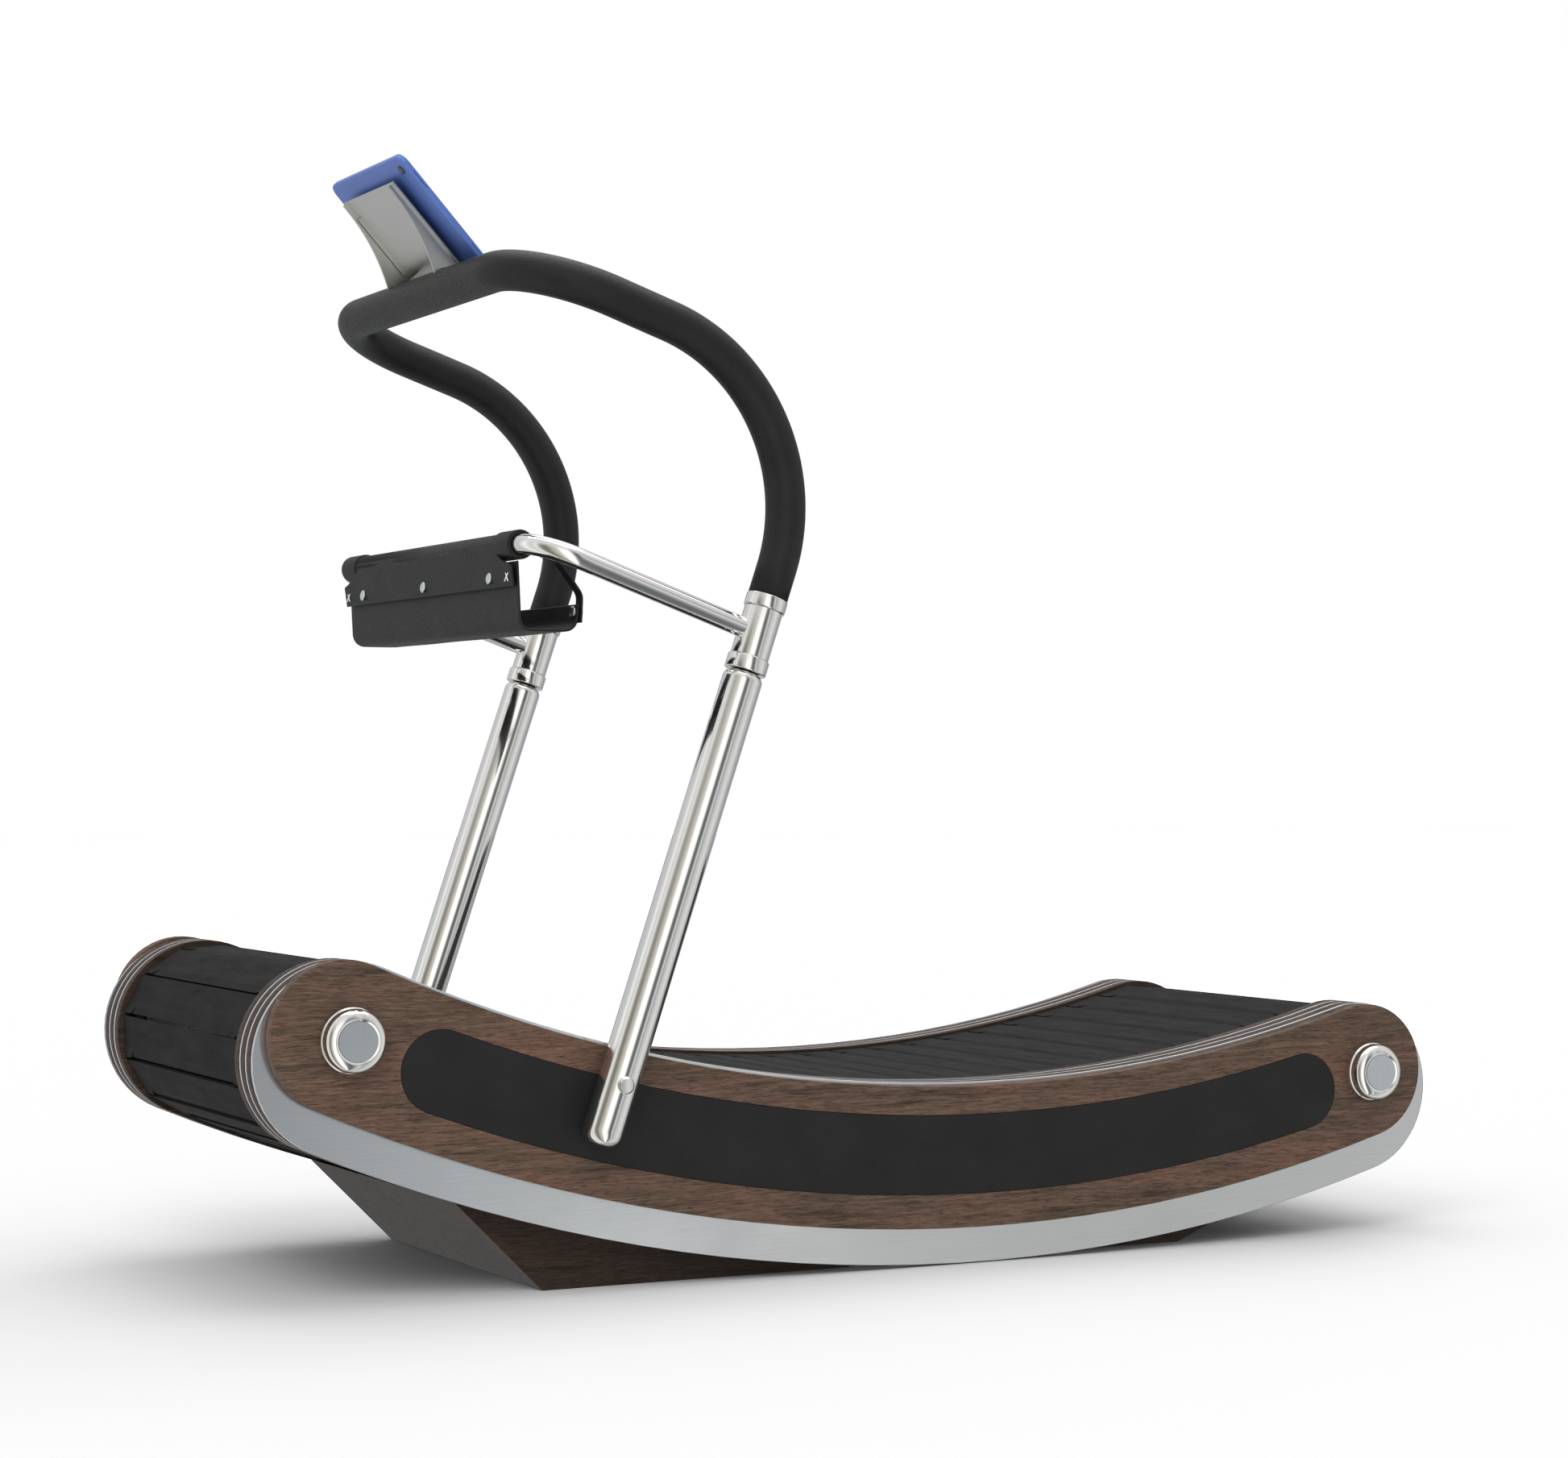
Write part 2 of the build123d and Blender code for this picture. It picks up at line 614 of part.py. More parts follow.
def make_belt():
    make_slats()
    outer_r = CARRIER_R + CARRIER_THICK
    top_slat = MID_R - BELT_VERTEX_R + SLAT_THICK + CHORD_DIP
    return_slat = MID_R + BELT_VERTEX_R - SLAT_THICK - 2 * CHORD_DIP
    top_middles = [REAR_DEG - TOP_PITCH * (k + 0.5 - REAR_PHASE) for k in range(1, TOP_COUNT - 1)]
    return_middles = [RETURN_PITCH * (k + 0.5 + FRONT_PHASE) - FRONT_DEG for k in range(RETURN_COUNT)]
    top_ends = (CARRIER_END, CARRIER_END)
    make_straight_carriers("top", top_slat, MID_R - outer_r, top_middles, top_ends)
    make_straight_carriers("return", return_slat, MID_R + outer_r, return_middles, RETURN_ENDS)
    make_wrap_carriers("front", FRONT_DRUM, 90 - FRONT_DEG)
    make_wrap_carriers("rear", REAR_DRUM, REAR_DEG - 90)


# ------------------------------------------------------------------ bosses on the covers
def make_caps():
    """Polished ring with a flat brushed disc in its middle."""
    for end, (x, z) in (("front", FRONT_CAP), ("rear", REAR_CAP)):
        axis = Axis((x, 0, z), (0, 1, 0))
        for name, side in SIDES:
            with BuildPart() as ring:
                plane = Plane(origin=(x, side * COVER_FACE, z), x_dir=(0, side, 0), z_dir=(side, 0, 0))
                with BuildSketch(plane):
                    with BuildLine():
                        Line((0, CAP_DISC_R), (0, CAP_R))
                        Line((0, CAP_R), (CAP_WALL, CAP_R))
                        ThreePointArc((CAP_WALL, CAP_R), CAP_SHOULDER, (CAP_HEIGHT, CAP_DISC_R + CAP_LAND))
                        Line((CAP_HEIGHT, CAP_DISC_R + CAP_LAND), (CAP_HEIGHT, CAP_DISC_R))
                        Line((CAP_HEIGHT, CAP_DISC_R), (0, CAP_DISC_R))
                    make_face()
                revolve(axis=axis)
            save(ring, f"{name}_{end}_cap")
    with BuildPart() as discs:
        for _, side in SIDES:
            with BuildSketch(side_plane(side, COVER_FACE, COVER_FACE + CAP_HEIGHT - 1)):
                with Locations(FRONT_CAP, REAR_CAP):
                    Circle(CAP_DISC_R)
            extrude(amount=CAP_HEIGHT - 1)
    save(discs, "cap_discs")


# ------------------------------------------------------------------ uprights
def make_ring(side, span, inner_r, edge):
    """A collar or sleeve round an upright's axis."""
    z0, z1, radius = span
    with BuildPart() as ring:
        with BuildSketch(upright_plane(side, z0)):
            Circle(radius)
            Circle(inner_r, mode=Mode.SUBTRACT)
        extrude(amount=up_length(z0, z1))
        outer = ring.edges().filter_by(GeomType.CIRCLE).group_by(SortBy.RADIUS)[-1]
        fillet(outer, edge)
    return ring


def make_uprights():
    inner_r = TUBE_R - TUBE_WALL
    for name, side in SIDES:
        with BuildPart() as tube:
            with BuildSketch(upright_plane(side, FOOT_Z)):
                Circle(TUBE_R)
            extrude(amount=up_length(FOOT_Z, LOWER_COLLAR[0]))
            ends = tube.edges().filter_by(GeomType.CIRCLE).sort_by(Axis.Z)
            fillet(ends[0], FOOT_FILLET)
            fillet(ends[-1], SHOULDER_FILLET)
            floor = FOOT_Z + FOOT_FILLET
            with BuildSketch(upright_plane(side, floor)):
                Circle(inner_r - SHOULDER_FILLET)
            extrude(amount=up_length(floor, LOWER_COLLAR[0]), mode=Mode.SUBTRACT)
            hollow = up_length(floor, LOWER_COLLAR[0]) - SHOULDER_FILLET
            with BuildSketch(upright_plane(side, floor)):
                Circle(inner_r)
            extrude(amount=hollow, mode=Mode.SUBTRACT)
            cut_bolt_holes(side)
        save(tube, f"{name}_upright")
        bore = HANDLE_R + RUNNING_GAP
        save(make_ring(side, LOWER_COLLAR, inner_r - SHOULDER_FILLET, 1.2), f"{name}_lower_collar")
        save(make_ring(side, SLEEVE, bore, 0.6), f"{name}_socket")
        save(make_ring(side, UPPER_COLLAR, bore, 1.2), f"{name}_upper_collar")
    make_upright_bolts()


def cut_bolt_holes(side):
    at = (upright_x(BOLT_Z), BOLT_Z)
    with BuildSketch(side_plane(side, UPRIGHT_Y - TUBE_R - 1, UPRIGHT_Y)) as narrow:
        with Locations(at):
            Circle(BOLT_R + RUNNING_GAP)
    extrude(narrow.sketch, amount=TUBE_R + 1, mode=Mode.SUBTRACT)
    with BuildSketch(side_plane(side, UPRIGHT_Y, UPRIGHT_Y + TUBE_R + 1)) as wide:
        with Locations(at):
            Circle(BOLT_HEAD_R + RUNNING_GAP)
    extrude(wide.sketch, amount=TUBE_R + 1, mode=Mode.SUBTRACT)


def make_upright_bolts():
    """Shoulder bolts through each upright and its panel, with a nut inside and a saddle between."""
    at = (upright_x(BOLT_Z), BOLT_Z)
    end = PANEL_INNER - NUT_THICK - 2
    reach = sqrt((TUBE_R - TUBE_WALL) ** 2 - BOLT_SHOULDER_R**2)
    shoulder_start = UPRIGHT_Y - reach + RUNNING_GAP
    head_start = UPRIGHT_Y + BOLT_HEAD_BASE
    head_top = UPRIGHT_Y + BOLT_HEAD_TOP
    with BuildPart() as bolts:
        for _, side in SIDES:
            with BuildSketch(side_plane(side, end, shoulder_start)):
                with Locations(at):
                    Circle(BOLT_R)
            extrude(amount=shoulder_start - end)
            with BuildSketch(side_plane(side, shoulder_start, head_start)):
                with Locations(at):
                    Circle(BOLT_SHOULDER_R)
            extrude(amount=head_start - shoulder_start)
            with BuildSketch(side_plane(side, head_start, head_top)):
                with Locations(at):
                    Circle(BOLT_HEAD_R)
            extrude(amount=head_top - head_start)
        rims = bolts.edges().filter_by(GeomType.CIRCLE)
        fillet([e for e in rims if abs(abs(e.center().Y) - head_top) < 0.01], 3.0)
    save(bolts, "upright_bolts")
    with BuildPart() as nuts:
        for _, side in SIDES:
            with BuildSketch(side_plane(side, PANEL_INNER - NUT_THICK, PANEL_INNER)):
                with Locations(at):
                    RegularPolygon(NUT_R, 6)
                    Circle(BOLT_R + RUNNING_GAP, mode=Mode.SUBTRACT)
            extrude(amount=NUT_THICK)
    save(nuts, "upright_nuts")
    with BuildPart() as saddles:
        z0, z1 = SADDLE_Z
        for _, side in SIDES:
            with BuildSketch(upright_plane(side, z0)):
                with Locations((COVER_FACE - UPRIGHT_Y, 0)):
                    Rectangle(8, 2 * SADDLE_HALF, align=(Align.MIN, Align.CENTER))
                Circle(TUBE_R + RUNNING_GAP, mode=Mode.SUBTRACT)
            extrude(amount=up_length(z0, z1))
        for _, side in SIDES:
            with BuildSketch(side_plane(side, COVER_FACE, UPRIGHT_Y)):
                with Locations(at):
                    Circle(BOLT_R + RUNNING_GAP)
            extrude(amount=UPRIGHT_Y - COVER_FACE, mode=Mode.SUBTRACT)
    save(saddles, "upright_saddles")


# ------------------------------------------------------------------ handle and cross bar
def mirrored(points):
    """A route that starts on the left side, crosses over and comes down the right side."""
    left = [(x, -UPRIGHT_Y, z) for x, z in points]
    right = [(x, UPRIGHT_Y, z) for x, z in reversed(points)]
    return left + right


def tube_along(points, radii, outer_r, inner_r):
    with BuildPart() as tube:
        with BuildLine() as path:
            FilletPolyline(*mirrored(points), radius=radii)
        with BuildSketch(Plane(origin=path.line @ 0, z_dir=path.line % 0)):
            Circle(outer_r)
            Circle(inner_r, mode=Mode.SUBTRACT)
        sweep(path=path.line)
    return tube


def make_handle():
    radii = [HANDLE_ARC_R, HANDLE_CORNER_R, HANDLE_CORNER_R, HANDLE_ARC_R]
    root = (upright_x(HANDLE_ROOT_Z), HANDLE_ROOT_Z)
    frame = tube_along([root, HANDLE_BEND, HANDLE_BAR], radii, HANDLE_R, HANDLE_R - HANDLE_WALL)
    save(frame, "handle_frame")
    start = (upright_x(UPPER_COLLAR[1]), UPPER_COLLAR[1])
    grip = tube_along([start, HANDLE_BEND, HANDLE_BAR], radii, GRIP_R, HANDLE_R + RUNNING_GAP)
    save(grip, "handle_grip")


def make_cross_bar():
    radii = [BAR_CORNER_R, BAR_CORNER_R]
    bar = tube_along([BAR_ROOT, BAR], radii, BAR_R, BAR_R - BAR_WALL)
    with BuildPart() as coped:
        add(bar.part)
        for _, side in SIDES:
            with BuildSketch(upright_plane(side, SLEEVE[0] - 60)):
                Circle(SLEEVE[2])
            extrude(amount=up_length(SLEEVE[0] - 60, UPPER_COLLAR[1] + 60), mode=Mode.SUBTRACT)
    save(coped, "cross_bar")


# ------------------------------------------------------------------ leather pouch
def make_sleeve():
    """Leather round the bar, with a flap down the front whose upper corners are cut away."""
    bore = BAR_R + SLEEVE_GAP
    sleeve_r = bore + LEATHER_THICK
    front_x = BAR[0] - sleeve_r
    with BuildPart() as sleeve:
        with BuildSketch(Plane.XZ.offset(-POUCH_HALF)):
            with BuildLine():
                Polyline(
                    (front_x, BAR[1]),
                    (FLAP_BOTTOM[0] - LEATHER_THICK, FLAP_BOTTOM[1]),
                    FLAP_BOTTOM,
                    (front_x + LEATHER_THICK, BAR[1]),
                    close=True,
                )
            make_face()
        extrude(amount=2 * POUCH_HALF)
        for _, side in SIDES:
            face = Plane(origin=(front_x - sleeve_r, 0, 0), x_dir=(0, side, 0), z_dir=(side, 0, 0))
            with BuildSketch(face):
                with BuildLine():
                    first, middle, last = FLAP_CUT
                    ThreePointArc(first, middle, last)
                    Polyline(last, (last[0] + 1, last[1]), (last[0] + 1, first[1] + 1), first)
                make_face()
            extrude(amount=side * 2 * sleeve_r, mode=Mode.SUBTRACT)
        with BuildSketch(Plane.XZ.offset(-POUCH_HALF)):
            with Locations(BAR):
                Circle(sleeve_r)
        extrude(amount=2 * POUCH_HALF)
        for _, side in SIDES:
            with BuildSketch(side_plane(side, BAND_INNER, POUCH_HALF)):
                with Locations(BAR):
                    Circle(sleeve_r + BAND_THICK)
            extrude(amount=POUCH_HALF - BAND_INNER)
        with BuildSketch(Plane.XZ.offset(-POUCH_HALF)):
            with Locations(BAR):
                Circle(bore)
        extrude(amount=2 * POUCH_HALF, mode=Mode.SUBTRACT)
    save(sleeve, "bar_sleeve")


def make_pouch():
    with BuildPart() as pouch:
        with BuildSketch(Plane.XZ.offset(-POUCH_HALF)):
            with BuildLine():
                FilletPolyline(*POUCH_ROUTE, radius=POUCH_FILLET)
                offset(amount=POUCH_THICK / 2)
            make_face()
        extrude(amount=2 * POUCH_HALF)
    save(pouch, "pouch")


def rivet(plane, length):
    """A rivet with a low head at each end; the plane's origin is the middle of its shank."""
    with BuildPart() as piece:
        with BuildSketch(plane.offset(-length / 2)):
            Circle(RIVET_SHANK_R)
        extrude(amount=length)
        for start in (-length / 2 - RIVET_HEAD, length / 2):
            with BuildSketch(plane.offset(start)):
                Circle(RIVET_R)
            extrude(amount=RIVET_HEAD)
    return piece.part


def make_rivets():
    """Three rivets hold the flap to the pouch, one at each end holds a strap to its back wall."""
    front = Plane(origin=(RIVET_AT[0], 0, RIVET_AT[1]), x_dir=(0, 1, 0), z_dir=(-1, 0, RIVET_TILT))
    back = Plane(origin=STRAP_RIVET, x_dir=(0, 1, 0), z_dir=(-1, 0, STRAP_RIVET_TILT))
    grip = LEATHER_THICK + POUCH_THICK + RIVET_CLEARANCE
    with BuildPart() as rivets:
        for y in RIVET_YS:
            add(rivet(Plane(front.origin + Vector(0, y, 0), front.x_dir, front.z_dir), grip))
        for _, side in SIDES:
            place = Vector(0, side * (POUCH_HALF - STRAP_WIDTH / 2), 0)
            add(rivet(Plane(back.origin + place, back.x_dir, back.z_dir), grip))
    save(rivets, "pouch_rivets")


def make_straps():
    """Straps from the bar's sleeve down to the outside of the pouch's back wall."""
    with BuildPart() as straps:
        for _, side in SIDES:
            inner = POUCH_HALF - STRAP_WIDTH
            with BuildSketch(side_plane(side, inner, POUCH_HALF)):
                with BuildLine():
                    FilletPolyline(*STRAP_ROUTE, radius=STRAP_RADII)
                    offset(amount=STRAP_THICK / 2)
                make_face()
            extrude(amount=STRAP_WIDTH)
    save(straps, "pouch_straps")


# ------------------------------------------------------------------ tablet and holder
def slope_plane(height):
    """Parallel to the tablet: x across the machine, y up the slope, z towards the runner."""
    base = Plane(origin=(TABLET_TOP[0], 0, TABLET_TOP[1]), x_dir=(0, 1, 0), z_dir=TABLET_NORMAL)
    return base.offset(height)


def side_slope_plane(y):
    """Square to the tablet, seen from its side: x up the slope, y towards the runner."""
    n = Vector(*TABLET_NORMAL)
    up = Vector(-n.Z, 0, n.X)
    return Plane(origin=(TABLET_TOP[0], y, TABLET_TOP[1]), x_dir=up, z_dir=(0, 1, 0))


def bar_on_slope():
    """The handle bar's axis, as up-slope and towards-runner distances from the tablet's top."""
    dx, dz = HANDLE_BAR[0] - TABLET_TOP[0], HANDLE_BAR[1] - TABLET_TOP[1]
    nx, nz = TABLET_NORMAL[0], TABLET_NORMAL[2]
    return (-nz * dx + nx * dz, nx * dx + nz * dz)


def make_tablet():
    middle = (0, -TABLET_HEIGHT / 2)
    with BuildPart() as case:
        with BuildSketch(slope_plane(0)):
            with Locations(middle):
                RectangleRounded(2 * TABLET_HALF, TABLET_HEIGHT, TABLET_CORNER)
        extrude(amount=TABLET_THICK)
        n = Vector(*TABLET_NORMAL)
        outline = case.faces().sort_by(Axis((0, 0, 0), n))
        fillet(outline[0].edges(), CASE_ROUND)
        with BuildSketch(slope_plane(TABLET_THICK - GLASS_THICK)):
            with Locations(middle):
                width = 2 * (TABLET_HALF - GLASS_INSET)
                RectangleRounded(width, TABLET_HEIGHT - 2 * GLASS_INSET, TABLET_CORNER - GLASS_INSET / 2)
        extrude(amount=GLASS_THICK, mode=Mode.SUBTRACT)
        with BuildSketch(side_slope_plane(-TABLET_HALF)):
            for row in SPEAKER_ROWS:
                with Locations((row, SPEAKER_UP)):
                    with GridLocations(SPEAKER_PITCH, 1, SPEAKER_COUNT, 1):
                        Circle(SPEAKER_R)
        extrude(amount=SPEAKER_DEPTH, mode=Mode.SUBTRACT)
    save(case, "tablet_case")
    with BuildPart() as glass:
        with BuildSketch(slope_plane(TABLET_THICK - GLASS_THICK)):
            with Locations(middle):
                width = 2 * (TABLET_HALF - GLASS_INSET - GLASS_PLAY)
                height = TABLET_HEIGHT - 2 * (GLASS_INSET + GLASS_PLAY)
                RectangleRounded(width, height, TABLET_CORNER - GLASS_INSET / 2)
        extrude(amount=GLASS_THICK)
    save(glass, "tablet_glass")
    with BuildPart() as lens:
        with BuildSketch(slope_plane(-LENS_PROUD)):
            with Locations(LENS_AT):
                Circle(LENS_R)
        extrude(amount=LENS_PROUD)
    save(lens, "camera_lens")


def make_holder():
    """A channel with two deepening flanges that saddle the bar, and a ledge under the tablet."""
    back = -HOLDER_BACK
    rear = back - HOLDER_THICK
    bar_s, bar_n = bar_on_slope()
    ledge_s = -TABLET_HEIGHT - LEDGE_DROP
    with BuildPart() as holder:
        with BuildSketch(slope_plane(rear)):
            with Locations((0, (HOLDER_TOP + ledge_s) / 2)):
                Rectangle(2 * (HOLDER_HALF + LIP_WIDTH), HOLDER_TOP - ledge_s + HOLDER_THICK)
        extrude(amount=HOLDER_THICK)
        for side in (-1, 1):
            with BuildSketch(slope_plane(rear - RIDGE_HEIGHT)):
                with Locations((side * (HOLDER_HALF - FLANGE_THICK - RIDGE_WIDTH), (HOLDER_TOP + bar_s) / 2)):
                    Rectangle(RIDGE_WIDTH, HOLDER_TOP - bar_s - 2 * GRIP_R)
            extrude(amount=RIDGE_HEIGHT)
            start = HOLDER_HALF - FLANGE_THICK if side > 0 else -HOLDER_HALF
            with BuildSketch(side_slope_plane(start)):
                with BuildLine():
                    top = (HOLDER_TOP, rear - FLANGE_TOP)
                    waist = (HOLDER_TOP - FLANGE_WAIST[0], rear - FLANGE_TOP - FLANGE_WAIST[1])
                    above = (bar_s + FLANGE_ABOVE, rear - FLANGE_DEEP)
                    below = (bar_s - FLANGE_BELOW, rear - FLANGE_DEEP)
                    Spline(top, waist, above)
                    Polyline(above, below, (bar_s - FLANGE_FOOT, rear), (HOLDER_TOP, rear), top)
                make_face()
                with Locations((bar_s, bar_n)):
                    Circle(GRIP_R + BAR_PLAY, mode=Mode.SUBTRACT)
            extrude(amount=FLANGE_THICK)
        ledge_deep = TABLET_THICK + LEDGE_PLAY + HOLDER_THICK - rear
        with BuildSketch(side_slope_plane(-LEDGE_HALF)):
            with Locations((ledge_s, rear)):
                Rectangle(HOLDER_THICK, ledge_deep, align=(Align.MAX, Align.MIN))
            with Locations((ledge_s - HOLDER_THICK, TABLET_THICK + LEDGE_PLAY)):
                Rectangle(HOLDER_THICK + LEDGE_LIP, HOLDER_THICK, align=(Align.MIN, Align.MIN))
        extrude(amount=2 * LEDGE_HALF)
    save(holder, "tablet_holder")
    with BuildPart() as clamp:
        with BuildSketch(side_slope_plane(-CLAMP_HALF)):
            with Locations((bar_s, rear)):
                Rectangle(2 * CLAMP_SPAN, rear - bar_n - CLAMP_REACH, align=(Align.CENTER, Align.MAX))
            with Locations((bar_s, bar_n)):
                Circle(GRIP_R + RUNNING_GAP, mode=Mode.SUBTRACT)
        extrude(amount=2 * CLAMP_HALF)
    save(clamp, "holder_saddle")
    with BuildPart() as pads:
        with BuildSketch(slope_plane(back)):
            with Locations((-PAD_Y, -TABLET_HEIGHT / 2), (PAD_Y, -TABLET_HEIGHT / 2)):
                RectangleRounded(PAD_WIDTH, PAD_LENGTH, PAD_CORNER)
        extrude(amount=HOLDER_BACK - PAD_GAP)
    save(pads, "holder_pads")


SECTIONS = (
    make_panels, make_rails, make_ties, make_base, make_belt, make_caps, make_uprights,
    make_handle, make_cross_bar, make_sleeve, make_pouch, make_rivets, make_straps,
    make_tablet, make_holder,
)
make_drum_set("front", FRONT_DRUM)
make_drum_set("rear", REAR_DRUM)
for section in SECTIONS:
    section()
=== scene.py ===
import json
from math import cos, pi, radians, sin, sqrt, tan

import bmesh
import bpy
from mathutils import Matrix, Vector, noise


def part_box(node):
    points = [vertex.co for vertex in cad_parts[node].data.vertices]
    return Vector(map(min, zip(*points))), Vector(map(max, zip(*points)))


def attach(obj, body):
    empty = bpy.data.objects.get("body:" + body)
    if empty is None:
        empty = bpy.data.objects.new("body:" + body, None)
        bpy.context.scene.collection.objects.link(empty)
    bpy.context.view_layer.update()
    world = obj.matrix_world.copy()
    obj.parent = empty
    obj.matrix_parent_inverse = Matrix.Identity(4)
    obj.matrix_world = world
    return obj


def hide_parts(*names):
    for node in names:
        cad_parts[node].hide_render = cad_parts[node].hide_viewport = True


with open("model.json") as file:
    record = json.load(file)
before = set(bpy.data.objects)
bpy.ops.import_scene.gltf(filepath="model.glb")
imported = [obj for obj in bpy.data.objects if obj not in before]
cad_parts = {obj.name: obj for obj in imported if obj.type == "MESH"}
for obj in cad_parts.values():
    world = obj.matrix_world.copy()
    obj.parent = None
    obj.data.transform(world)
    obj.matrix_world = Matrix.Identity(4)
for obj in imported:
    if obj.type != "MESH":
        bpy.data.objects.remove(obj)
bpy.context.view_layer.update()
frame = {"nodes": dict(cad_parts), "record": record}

# Curved manual treadmill: looks around the CAD frame. Metres, +Z up, the runner faces -X.

SIDES = (("left", -1), ("right", 1))
ROUND = 96                      # segments round a large tube or ring

# ---- camera: seen from the front left, a little below the cross bar
CAMERA_AT = (-2.3162, -4.4523, 0.6968)
CAMERA_YAW = 27.526
CAMERA_PITCH = 0.7606
CAMERA_LENS = 77.02

# ---- places read from the frame, and sizes that repeat the design's own
GRIP_R = 0.02775
GRIP_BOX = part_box("handle_grip")
HANDLE_BAR = (GRIP_BOX[0].x + GRIP_R, GRIP_BOX[1].z - GRIP_R)
UPRIGHT_Y = GRIP_BOX[1].y - GRIP_R
HANDLE_BEND = (-0.12173, 1.2224)
HANDLE_ARC_R = 0.259
HANDLE_CORNER_R = 0.129
LEAN = Vector((0.32475, 0, 0.94580))    # direction of the uprights
UPRIGHT_X0 = -0.5415
UPRIGHT_SLOPE = 0.3434
TUBE_R = 0.0278
FOOT_Z, SHOULDER_Z = 0.203, 0.835
SLEEVE_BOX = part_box("bar_sleeve")
BAND_R = 0.020
SLEEVE_R = 0.0175
BAR_R = 0.014
BAR = (SLEEVE_BOX[0].x + BAND_R, SLEEVE_BOX[1].z - BAND_R)
BAR_ROOT = (-0.2366, 0.888)
BAR_CORNER_R = 0.062
POUCH_HALF = SLEEVE_BOX[1].y
COVER_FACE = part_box("left_front_cap")[1].y
CAP_HEIGHT = COVER_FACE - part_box("left_front_cap")[0].y
BAND_INNER = 0.265
FLAP_CUT = ((0.268, 0.998), (0.320, 0.976))
FLAP_FOOT = (-0.567, 0.947)
FLAP_THICK = 0.0032
RIPPLE = 0.0006                 # unevenness of the flap and the pouch
POUCH_THICK = 0.0034
POUCH_ROUTE = ((-0.5633, 0.981), (-0.5587, 0.889), (-0.4782, 0.889), (-0.474, 0.925))
STRAP_ROUTE = ((-0.537, 0.995), (-0.500, 0.980), (-0.4685, 0.938), (-0.4702, 0.900))
STRAP_WIDTH = 0.020
STRAP_THICK = 0.003
RIVET_AT = (-0.5669, 0.960)
RIVET_YS = (-0.243, 0, 0.243)
STRAP_RIVET = (-0.4732, 0.914)
RIVET_LEAN = 0.12
STRAP_RIVET_LEAN = 0.1
RIVET_FRONT_REACH = 0.0050      # from a rivet's middle to the face under its front head
RIVET_BACK_REACH = 0.0035
STITCH_Y = 0.304
STITCH_REACH = 0.0056
STITCH_ARM = (0.0058, 0.0066)   # half width and half height of a cross
THREAD_R = 0.0009
INLAY_TOP_R = 2.3494
INLAY_BOTTOM_R = 2.4612
INLAY_FRONT_DEG = 20.28
INLAY_REAR_DEG = 13.23
INLAY_DEPTH = 0.0018
INLAY_EDGE_R = 0.0016
ARC_X, ARC_Z = 0.14903, 2.563   # centre of the side panels' curve
STRIP_STEPS = 120               # steps along an inlay's long edges
END_STEPS = 32                  # steps round its ends


# ------------------------------------------------------------------ node materials
class Nodes:
    """A small helper that adds and joins the nodes of one material."""

    def __init__(self, name):
        self.material = bpy.data.materials.new(name)
        self.material.use_nodes = True
        self.tree = self.material.node_tree
        self.shader = self.tree.nodes["Principled BSDF"]
        self.coords = self.add("ShaderNodeTexCoord").outputs["Object"]

    def add(self, kind, **inputs):
        node = self.tree.nodes.new(kind)
        for key, value in inputs.items():
            self.put(node.inputs[key.replace("_", " ")], value)
        return node

    def put(self, socket, value):
        if isinstance(value, bpy.types.NodeSocket):
            self.tree.links.new(value, socket)
        else:
            socket.default_value = value

    def set(self, **inputs):
        for key, value in inputs.items():
            self.put(self.shader.inputs[key.replace("_", " ")], value)

    def stretched(self, scale, vector=None):
        node = self.add("ShaderNodeMapping")
        node.inputs["Scale"].default_value = scale
        self.put(node.inputs["Vector"], self.coords if vector is None else vector)
        return node.outputs["Vector"]

    def noise(self, scale, detail=2.0, rough=0.5, vector=None):
        node = self.add("ShaderNodeTexNoise", Scale=scale, Detail=detail, Roughness=rough)
        self.put(node.inputs["Vector"], self.coords if vector is None else vector)
        return node.outputs["Fac"]

    def cells(self, scale):
        node = self.add("ShaderNodeTexVoronoi", Scale=scale, Vector=self.coords)
        return node.outputs["Distance"]

    def ramp(self, value, *stops):
        node = self.add("ShaderNodeValToRGB", Fac=value)
        elements = node.color_ramp.elements
        while len(elements) < len(stops):
            elements.new(0.5)
        for element, (place, color) in zip(elements, stops):
            element.position = place
            element.color = (*color, 1) if hasattr(color, "__len__") else (color, color, color, 1)
        return node.outputs["Color"]

    def mix(self, factor, a, b, blend="MIX"):
        node = self.add("ShaderNodeMix")
        node.data_type = "RGBA"
        node.blend_type = blend
        self.put(node.inputs["Factor"], factor)
        for socket, value in ((node.inputs[6], a), (node.inputs[7], b)):
            self.put(socket, value if isinstance(value, bpy.types.NodeSocket) else (*value, 1))
        return node.outputs[2]

    def bump(self, height, strength, distance):
        node = self.add("ShaderNodeBump", Strength=strength, Distance=distance, Height=height)
        self.put(self.shader.inputs["Normal"], node.outputs["Normal"])


